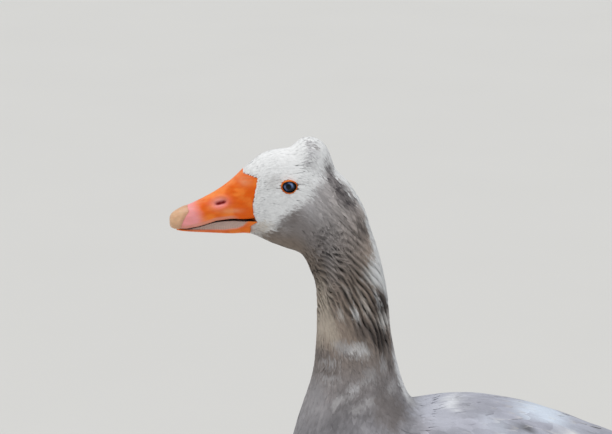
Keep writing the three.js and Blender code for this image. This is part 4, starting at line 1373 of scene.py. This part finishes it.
def web_slab(side, first, second):
    """Skin between two toes: a thin closed slab whose front edge is hollow."""
    across = np.linspace(0, 1, 21)[:, None]
    along_toe = np.concatenate([np.linspace(0.08, 1, 24), np.linspace(1, 0.08, 24)])
    half = np.repeat([0.5, -0.5], 24) * WEB_THICK * MM
    share = along_toe * 0.86 * (1 - 0.16 * 4 * across * (1 - across) * along_toe)
    grid = blend(toe_path(side, first, share), toe_path(side, second, share), across[..., None])
    grid[..., 2] = np.maximum(grid[..., 2] * blend(0.9, 0.55, along_toe), 0.9 * MM) + half
    return oriented(grid)


def shank_tube(side):
    """The bare shank from the hock to the ankle, wider at both ends."""
    t = np.linspace(0, 1, 30)
    path = blend(joint_at(side, HOCK), joint_at(side, SHANK_END), t[:, None])
    swell = 1 + 0.24 * np.abs(2 * t - 1) ** 4
    return tube(path, 5.4 * swell, 7.2 * swell, 28) * MM


def ankle_ball(side):
    """An ellipsoid that touches the floor, as rings from the top to the bottom."""
    fall, turn = np.meshgrid(np.linspace(0.05, np.pi - 0.05, 14), around(24), indexing="ij")
    ball = np.stack([np.sin(fall) * np.cos(turn), np.sin(fall) * np.sin(turn), np.cos(fall)], axis=-1)
    return oriented(joint_at(side, ANKLE) + ball * [8, 9, ANKLE[1]]) * MM


def leg(label, side):
    """Shank, ankle, toes and webs as one scaly skin that stands on the floor, its webs paler."""
    sets = [shank_tube(side), ankle_ball(side)]
    sets += [toe_tube(side, toe) for toe in TOES]
    sets += [web_slab(side, "inner", "middle"), web_slab(side, "middle", "outer")]
    piece, spots = fused(f"leg_{label}", sets, 0.85 * MM, 2)
    spots[:, 2] = np.maximum(spots[:, 2], 0)
    piece.data.vertices.foreach_set("co", spots.astype(np.float32).ravel())
    thin = 1 - ramp(spots[:, 2], 2.4 * MM, 4 * MM)
    hue = blend(LEG_ORANGE, WEB_ORANGE, (0.8 * thin)[:, None])
    set_tint(piece.data, hue * (1 + 0.1 * cloud(spots, 8 * MM, 91))[:, None])
    dress(piece, scale_finish(f"leg_scales_{label}"), "leg", f"shank_{label}", f"foot_{label}")


def claws(label, side):
    """A short blunt claw at the end of each toe: a round horn that sinks and narrows to its tip,
    where it is darker."""
    finish = horn_finish(f"claw_horn_{label}", 0.5, 0.05, 1.5 * MM)
    t = np.linspace(0, 1, 18)
    thick = (TOE_TIP * 0.82 * (1 - t) ** 0.7 + 0.35) * MM
    hue = blend(colour(176, 140, 116), colour(122, 98, 84), t[:, None])
    for toe in TOES:
        flat = on_toe(side, toe, TOES[toe][0] - 1 + t * CLAW_LONG)
        path = np.concatenate([flat, (TOE_TIP * (1.05 - 0.62 * t**2))[:, None]], axis=1) * MM
        grid = oriented(tube(path, thick, thick, 20))
        ringed(f"claw_horn_{toe}_{label}", grid, hue[:, None] * np.ones((20, 1)), finish, "claw",
               f"claw_{toe}_{label}")


for label, side in SIDES_OF_BIRD:
    leg(label, side)
    claws(label, side)


# ---- bill ---------------------------------------------------------------------------------

# Stations from the tip backwards: upper [y, z], lower [y, z], half width, height of the widest
# place as a share of the section, and roundness of the section.
UPPER_BILL = [
    [-295, 509.4, -294.6, 507.2, 2.4, 0.3, 1], [-293.6, 516, -291.5, 505.4, 7.2, 0.2, 0.95],
    [-287.8, 520.8, -286, 505.2, 9.8, 0.12, 0.92], [-279, 525.2, -278.5, 506, 11.2, 0.08, 0.95],
    [-266, 531.5, -267, 508.6, 12.2, 0.06, 1], [-252, 539.7, -254, 513.2, 13.4, 0.05, 1.05],
    [-240, 549, -241, 515.2, 15, 0.05, 1.05], [-227.5, 560.8, -228, 515, 18.3, 0.07, 0.98],
    [-213.5, 571.6, -215, 515, 21.4, 0.12, 0.96],
]
LOWER_BILL = [
    [-289, 505, -288.6, 503.4, 5, 0.7, 0.9], [-282, 505.6, -281.5, 502.8, 9, 0.75, 0.8],
    [-272, 507.8, -272, 502.3, 10.8, 0.82, 0.55], [-256, 513, -256, 501.8, 12.2, 0.86, 0.42],
    [-241, 514.9, -241, 501.6, 14.2, 0.88, 0.38], [-228, 515, -227, 502.5, 17.2, 0.92, 0.36],
    [-214, 515, -213, 499, 19.4, 0.92, 0.4],
]
# Rear edge of the nail and, on the lower bill, the pale band's lower edge and the dark line of
# painted shadow between the halves: [height, y] for the first, [y, height] for the others.
NAIL_EDGE = np.array([(503, -286.4), (513.3, -282.6), (521, -277.8), (526.6, -280.2)])
RIM_TOP = np.array([(-286, 504.6), (-270, 505.2), (-258, 505.6), (-247, 505.8), (-236, 507.6), (-228, 511.5)])
DARK_LINE = np.array([(-286, 505), (-267, 508.6), (-254, 513), (-241, 514.7), (-228, 514.6)])
NOSTRIL_AT, NOSTRIL_LEAN = (-250.4, 529.4), 0.26
BILL_TURN = around(144)

ORANGE = colour(249, 131, 44)
DEEP_ORANGE = colour(235, 98, 0)
PINK = colour(246, 164, 170)
NAIL = colour(220, 176, 140)


def bill_section(rows, places, turn):
    """Points of rounded sections: at an angle from the top, the height runs from the widest place
    towards the upper or lower point by |cos| to a power, and the width by |sin| to it."""
    got = along(rows, places)
    upper, lower, (half, widest, power) = got[..., 0:2], got[..., 2:4], np.moveaxis(got[..., 4:], -1, 0)
    s, c = np.sin(turn), np.cos(turn)
    middle = blend(lower, upper, widest[..., None])
    end = np.where((c > 0)[..., None], upper, lower)
    flat = blend(middle, end, (np.abs(c) ** power)[..., None])
    return np.stack([np.sign(s) * half * np.abs(s) ** power, flat[..., 0], flat[..., 1]], axis=-1) * MM


def bill_rings(rows, share, behind, last):
    """Rings of a bill half at shares of its length, from its tip to where behind(points) gets
    above 0, with their normals, and their places along Y and heights in millimetres."""
    ends = first_crossing(lambda at, turn: bill_section(rows, at, turn), BILL_TURN, behind, last)
    grid = bill_section(rows, share * ends, np.ones_like(share) * BILL_TURN)
    return grid, Surface(grid, 1).table[..., 3:6], grid[..., 1] / MM, grid[..., 2] / MM


def in_plumage(points):
    """Above 0 where points lie so far behind the feathers' edge that the feathers hide them."""
    return behind_edge(points) - 0.9 * MM


def over(hue, top, share):
    """A colour laid over others by a share of its own for each point."""
    return blend(hue, top, np.asarray(share)[..., None])


def bill_upper():
    """The upper bill from its tip to the feathers' edge. The nostrils are slits pressed in, each
    in a shallow hollow with a raised ring round it, and the cutting edge is a rolled lip. Orange
    goes over to pink at the front and round the nostrils, with paler and redder clouds. Painted
    highlights lie along the ridge, in a spot high at the rear and in a band lower on the side; the
    slits are dark red, partly painted shade, and the underside is painted dark as shade."""
    grid, normal, y, height = bill_rings(UPPER_BILL, np.linspace(0, 1, 190)[:, None] ** 0.85, in_plumage, 8)
    u, v = turned(y, height, NOSTRIL_AT, NOSTRIL_LEAN)
    off_middle = np.abs(grid[..., 0])
    side, flank = ramp(off_middle, 4 * MM, 7 * MM), ramp(off_middle, 4 * MM, 8 * MM)
    slit = bell(u, 0, 4.6, 4) * bell(v, 0, 1.25) * side
    ring = np.hypot((u + 0.6) / 8.6, v / 5.2)
    lines = cloud(grid * [1, 0.4, 1], 2.2 * MM, 31)
    over_edge = height - np.interp(y, *np.array(UPPER_BILL)[:, 2:4].T)
    lip = bell(over_edge, 1.3, 1.1) * ramp(y, -288, -280)
    press = -2.6 * slit - 0.5 * bell(ring, 0, 1, 4) * side + 0.45 * bell(ring, 1, 0.22) * flank
    press = press + 0.5 * lip + 0.12 * lines
    grid = grid + (press * MM)[..., None] * normal

    deep = cloud(grid, 9 * MM, 33) + 0.5 * lines + ramp(y, -250, -229) - 0.35
    hue = over(ORANGE, DEEP_ORANGE, ramp(deep, -0.4, 0.8))
    # Painted highlight: paler orange along the top of the ridge, where the light falls.
    ridge = ramp(np.cos(BILL_TURN), 0.8, 0.98) * (1 - 0.5 * ramp(lines, -0.3, 0.5))
    hue = over(hue, colour(240, 160, 112), 0.35 * ridge)
    front = 1 - ramp(y + 0.35 * (height - 515) + 3 * cloud(grid, 5 * MM, 34), -275, -261)
    hue = over(hue, PINK, 0.85 * front)
    hue = over(hue, PINK, 0.75 * bell(np.maximum(ring - 0.15, 0), 0, 0.75) * ramp(
        np.abs(grid[..., 0]), 4 * MM, 8 * MM))
    rolled = (1 - ramp(over_edge, 2.4, 4.4)) * (1 - ramp(y + 2 * lines, -242, -230))
    hue = over(hue, colour(216, 146, 126), 0.8 * rolled)
    # Painted highlights: a pale spot high at the rear of the bill and a pale band lower on its side.
    painted_highlight = bell(y, -229, 6) * bell(height, 549, 4)
    painted_highlight = painted_highlight + bell(y + 240 - 1.5 * (height - 523), 0, 8) * bell(height, 523, 2)
    hue = over(hue, colour(240, 168, 124), 0.6 * painted_highlight * (1 + 0.5 * lines))
    # The slits are dark red: the nostril's own red, partly painted shade in the opening.
    hue = over(hue, colour(150, 22, 16), np.clip(1.6 * slit, 0, 1))
    # Painted shade: the underside of the upper bill is dark, as shade in the gap of the mouth.
    under = 1 - ramp(np.abs(BILL_TURN - np.pi), 1.0, 1.12)
    hue = over(hue, colour(120, 66, 46), under * np.ones_like(y))
    ringed("bill_horn", grid, hue, horn_finish("bill_orange", 0.45, 0.06, 2.4 * MM), "bill", "bill_upper")


def bill_nail():
    """The nail: a shell over the upper bill's tip, thinnest at the tip and at its rear edge."""
    def behind_nail(points):
        """How far points lie behind the nail's rear edge, along Y."""
        return points[..., 1] - np.interp(points[..., 2] / MM, *NAIL_EDGE.T) * MM

    share = np.linspace(0, 1, 60)[:, None] ** 0.8
    grid, normal, _, _ = bill_rings(UPPER_BILL, share, behind_nail, 5)
    thick = 0.15 + 0.55 * (1 - ramp(share, 0.86, 1.0)) * ramp(share, 0.0, 0.2)
    streaks = cloud(grid * [1, 0.25, 1], 1.3 * MM, 35)
    grid = grid + ((thick + 0.05 * streaks) * MM)[..., None] * normal
    grid[..., 1] = np.maximum(grid[..., 1], cad_box[0].y)
    hue = NAIL * (1 + 0.10 * streaks)[..., None]
    hue = over(hue, colour(205, 150, 120), 0.5 * ramp(share, 0.75, 1.0) * np.ones_like(streaks))
    ringed("nail_horn", grid, hue, horn_finish("nail_tan", 0.36, 0.3, 1.2 * MM), "nail", "bill_nail")


def bill_lower():
    """The lower bill: an orange rim below, and above it a pale band with fine upright ridges, painted
    darker in the grooves between them as shade, that shows below the upper bill's edge, up to a
    dark line of painted shadow where the halves meet."""
    grid, normal, y, height = bill_rings(LOWER_BILL, np.linspace(0, 1, 150)[:, None] ** 0.9, in_plumage, 6)
    rim_top, line = np.interp(y, *RIM_TOP.T), np.interp(y, *DARK_LINE.T)
    band = ramp(height, rim_top - 0.3, rim_top + 0.5) * ramp(y, -284, -276) * (1 - ramp(y, -229, -225))
    ridges = np.sin(y * TURN / 1.5)
    press = -0.9 * band + 0.16 * band * ridges + 0.25 * bell(height, rim_top - 0.9, 0.8)
    grid = grid + (press * MM)[..., None] * normal
    hue = over(ORANGE, DEEP_ORANGE, ramp(cloud(grid, 7 * MM, 36), -0.3, 0.7))
    hue = over(hue, colour(222, 120, 96), 0.6 * bell(height, rim_top - 0.2, 1.0) * ramp(y, -290, -270))
    # Painted shade: the pale band is darker in the grooves between its ridges.
    hue = over(hue, over(colour(214, 186, 174), colour(150, 112, 100), ramp(-ridges, 0.3, 1) * 0.6), band)
    # Painted shadow: a dark line where the two halves of the bill meet.
    hue = over(hue, colour(84, 48, 36), ramp(height, line - 0.4, line - 0.05) * ramp(y, -286, -276))
    ringed("lower_bill_horn", grid, hue, horn_finish("lower_bill_orange", 0.45, 0.06, 2.0 * MM), "bill",
           "bill_lower")


# ---- eyes ---------------------------------------------------------------------------------

LID_LONG, LID_HIGH = 6.55 * MM, 5.45 * MM


def eyeball(label, side):
    """A ball with pupil and iris turned outwards, its rings running round the way it looks. The
    iris is blue with fine fibres and a paler ring, which is broken by noise; a painted highlight
    makes both brighter towards the iris's upper side."""
    polar, turn = np.meshgrid(np.linspace(0.012, np.pi - 0.012, 64), around(96), indexing="ij")
    look = unit(np.array([side * 1.0, -0.10, 0.02]))
    right = unit(np.cross(look, [0, 0, 1.0]))
    up = np.cross(right, look)
    ball = (np.cos(polar)[..., None] * look + (np.sin(polar) * np.cos(turn))[..., None] * right
            + (np.sin(polar) * np.sin(turn))[..., None] * up)
    out = np.sin(polar) * EYE_RADIUS / MM
    fibre = np.sin(turn * 23) * 0.5 + np.sin(turn * 37 + 1) * 0.5
    # Painted highlight: the iris is brighter towards its upper side, with slow noise on top.
    iris_mottle_and_highlight = cloud(ball, 0.35, 47) + 0.5 * np.sin(turn - 0.4)
    hue = over(colour(20, 26, 48), colour(80, 104, 156), 0.34 + 0.25 * fibre + 0.5 * iris_mottle_and_highlight)
    hue = over(hue, colour(140, 164, 206), np.clip(0.1 + 0.95 * iris_mottle_and_highlight, 0, 1) * bell(out, 3.3, 0.6))
    hue = over(colour(0, 0, 0), hue, ramp(out + 0.2 * fibre, 2.1, 2.6))
    hue = over(hue, colour(12, 11, 16), np.maximum(ramp(out, 3.9, 4.7), ramp(polar, 1.3, 1.5)))
    ringed(f"eyeball_{label}", EYE_AT * [side, 1, 1] + EYE_RADIUS * ball, hue, eye_finish(), "eye",
           f"eye_{label}")


def eyelid(label, side):
    """A fleshy ring that lies on the ball: an oval in side view, round in section, thicker in
    front and drawn in below its middle line, with a dark inner edge."""
    at = EYE_AT * [side, 1, 1]
    turn, section = np.meshgrid(around(96), around(20), indexing="ij")
    wave = 1 + 0.05 * np.sin(turn * 9 + 1) + 0.04 * np.sin(turn * 15)
    thick = (0.68 - 0.08 * np.cos(turn)) * MM * wave
    y, z = LID_LONG * np.cos(turn), LID_HIGH * (1 - 0.04 * np.sin(turn)) * np.sin(turn)
    rest = np.sqrt(np.maximum(EYE_RADIUS**2 - (y * y + z * z), 0)) + 1.4 * MM
    rise = np.where(np.sin(section) > 0, 1.0, 3.6) * np.sin(section)
    outward = 1 + thick * np.cos(section) / np.hypot(y, z)
    x = side * (rest + thick * rise - 0.25 * thick * np.cos(section))
    lid = at + np.stack([x, y * outward, z * outward], axis=-1)
    hue = over(colour(236, 126, 40), colour(206, 90, 24), ramp(cloud(lid, 1.4 * MM, 41), -0.5, 0.6))
    hue = over(hue, colour(30, 18, 16), ramp(-np.cos(section), 0.45, 0.9))
    faces = grid_faces(96, 20, closed=True, looped=True)
    piece = put_mesh(f"eyelid_{label}", lid.reshape(-1, 3), faces if side < 0 else faces[:, ::-1], None,
                     hue.reshape(-1, 3))
    dress(piece, horn_finish("lid_orange", 0.5, 0.05, 0.8 * MM, (1, 1, 1)), "bill")


bill_upper()
bill_nail()
bill_lower()
for label, side in SIDES_OF_BIRD:
    eyeball(label, side)
    eyelid(label, side)


# ---- floor, light and camera --------------------------------------------------------------

VIEW_TILT = np.radians(13)
VIEW_DISTANCE = 1.9
VIEW_WIDTH = 0.532  # metres across the picture at that distance
VIEW_AIM = Vector((0, -0.1765, 0.5142))
FILM = 36  # millimetres
FLOOR_HALF = 60.0


def stage():
    """A wide pale floor, an even pale sky and one large soft lamp above."""
    paint = Paint("floor", Roughness=0.9)
    paint.finish(paint.mix((0.64, 0.63, 0.61, 1), (0.62, 0.61, 0.59, 1), paint.noise(paint.place(), 0.4)))
    corners = FLOOR_HALF * np.array([[-1, -1, 0], [1, -1, 0], [1, 1, 0], [-1, 1, 0]])
    floor = put_mesh("floor", corners, np.array([[0, 1, 2, 3]]))
    floor.data.materials.append(paint.material)
    world = bpy.data.worlds.new("sky")
    world.use_nodes = True
    world.node_tree.nodes["Background"].inputs["Color"].default_value = (0.9, 0.95, 1.0, 1)
    world.node_tree.nodes["Background"].inputs["Strength"].default_value = 0.45
    bpy.context.scene.world = world
    lamp = add_object("soft_lamp", bpy.data.lights.new("soft_lamp", "SUN"))
    lamp.data.energy = 2.15
    lamp.data.angle = np.radians(50)
    lamp.data.color = (1.0, 0.985, 0.96)
    lamp.rotation_mode = "QUATERNION"
    lamp.rotation_quaternion = Vector((0.1, -0.22, 1.0)).to_track_quat("Z", "Y")


def camera():
    """The view of the left side from a little above, on head, neck and the front of the back."""
    view = add_object("view", bpy.data.cameras.new("view"))
    view.data.sensor_width = FILM
    view.data.lens = FILM * VIEW_DISTANCE / VIEW_WIDTH
    view.data.clip_end = 200
    back = Vector((np.cos(VIEW_TILT), 0, np.sin(VIEW_TILT)))
    view.location = VIEW_AIM + VIEW_DISTANCE * back
    view.rotation_mode = "QUATERNION"
    view.rotation_quaternion = back.to_track_quat("Z", "Y")
    bpy.context.scene.camera = view


stage()
camera()
bpy.context.scene.view_settings.view_transform = "Standard"
if "Cube" in bpy.data.objects:  # a new scene comes with one
    bpy.data.objects.remove(bpy.data.objects["Cube"])
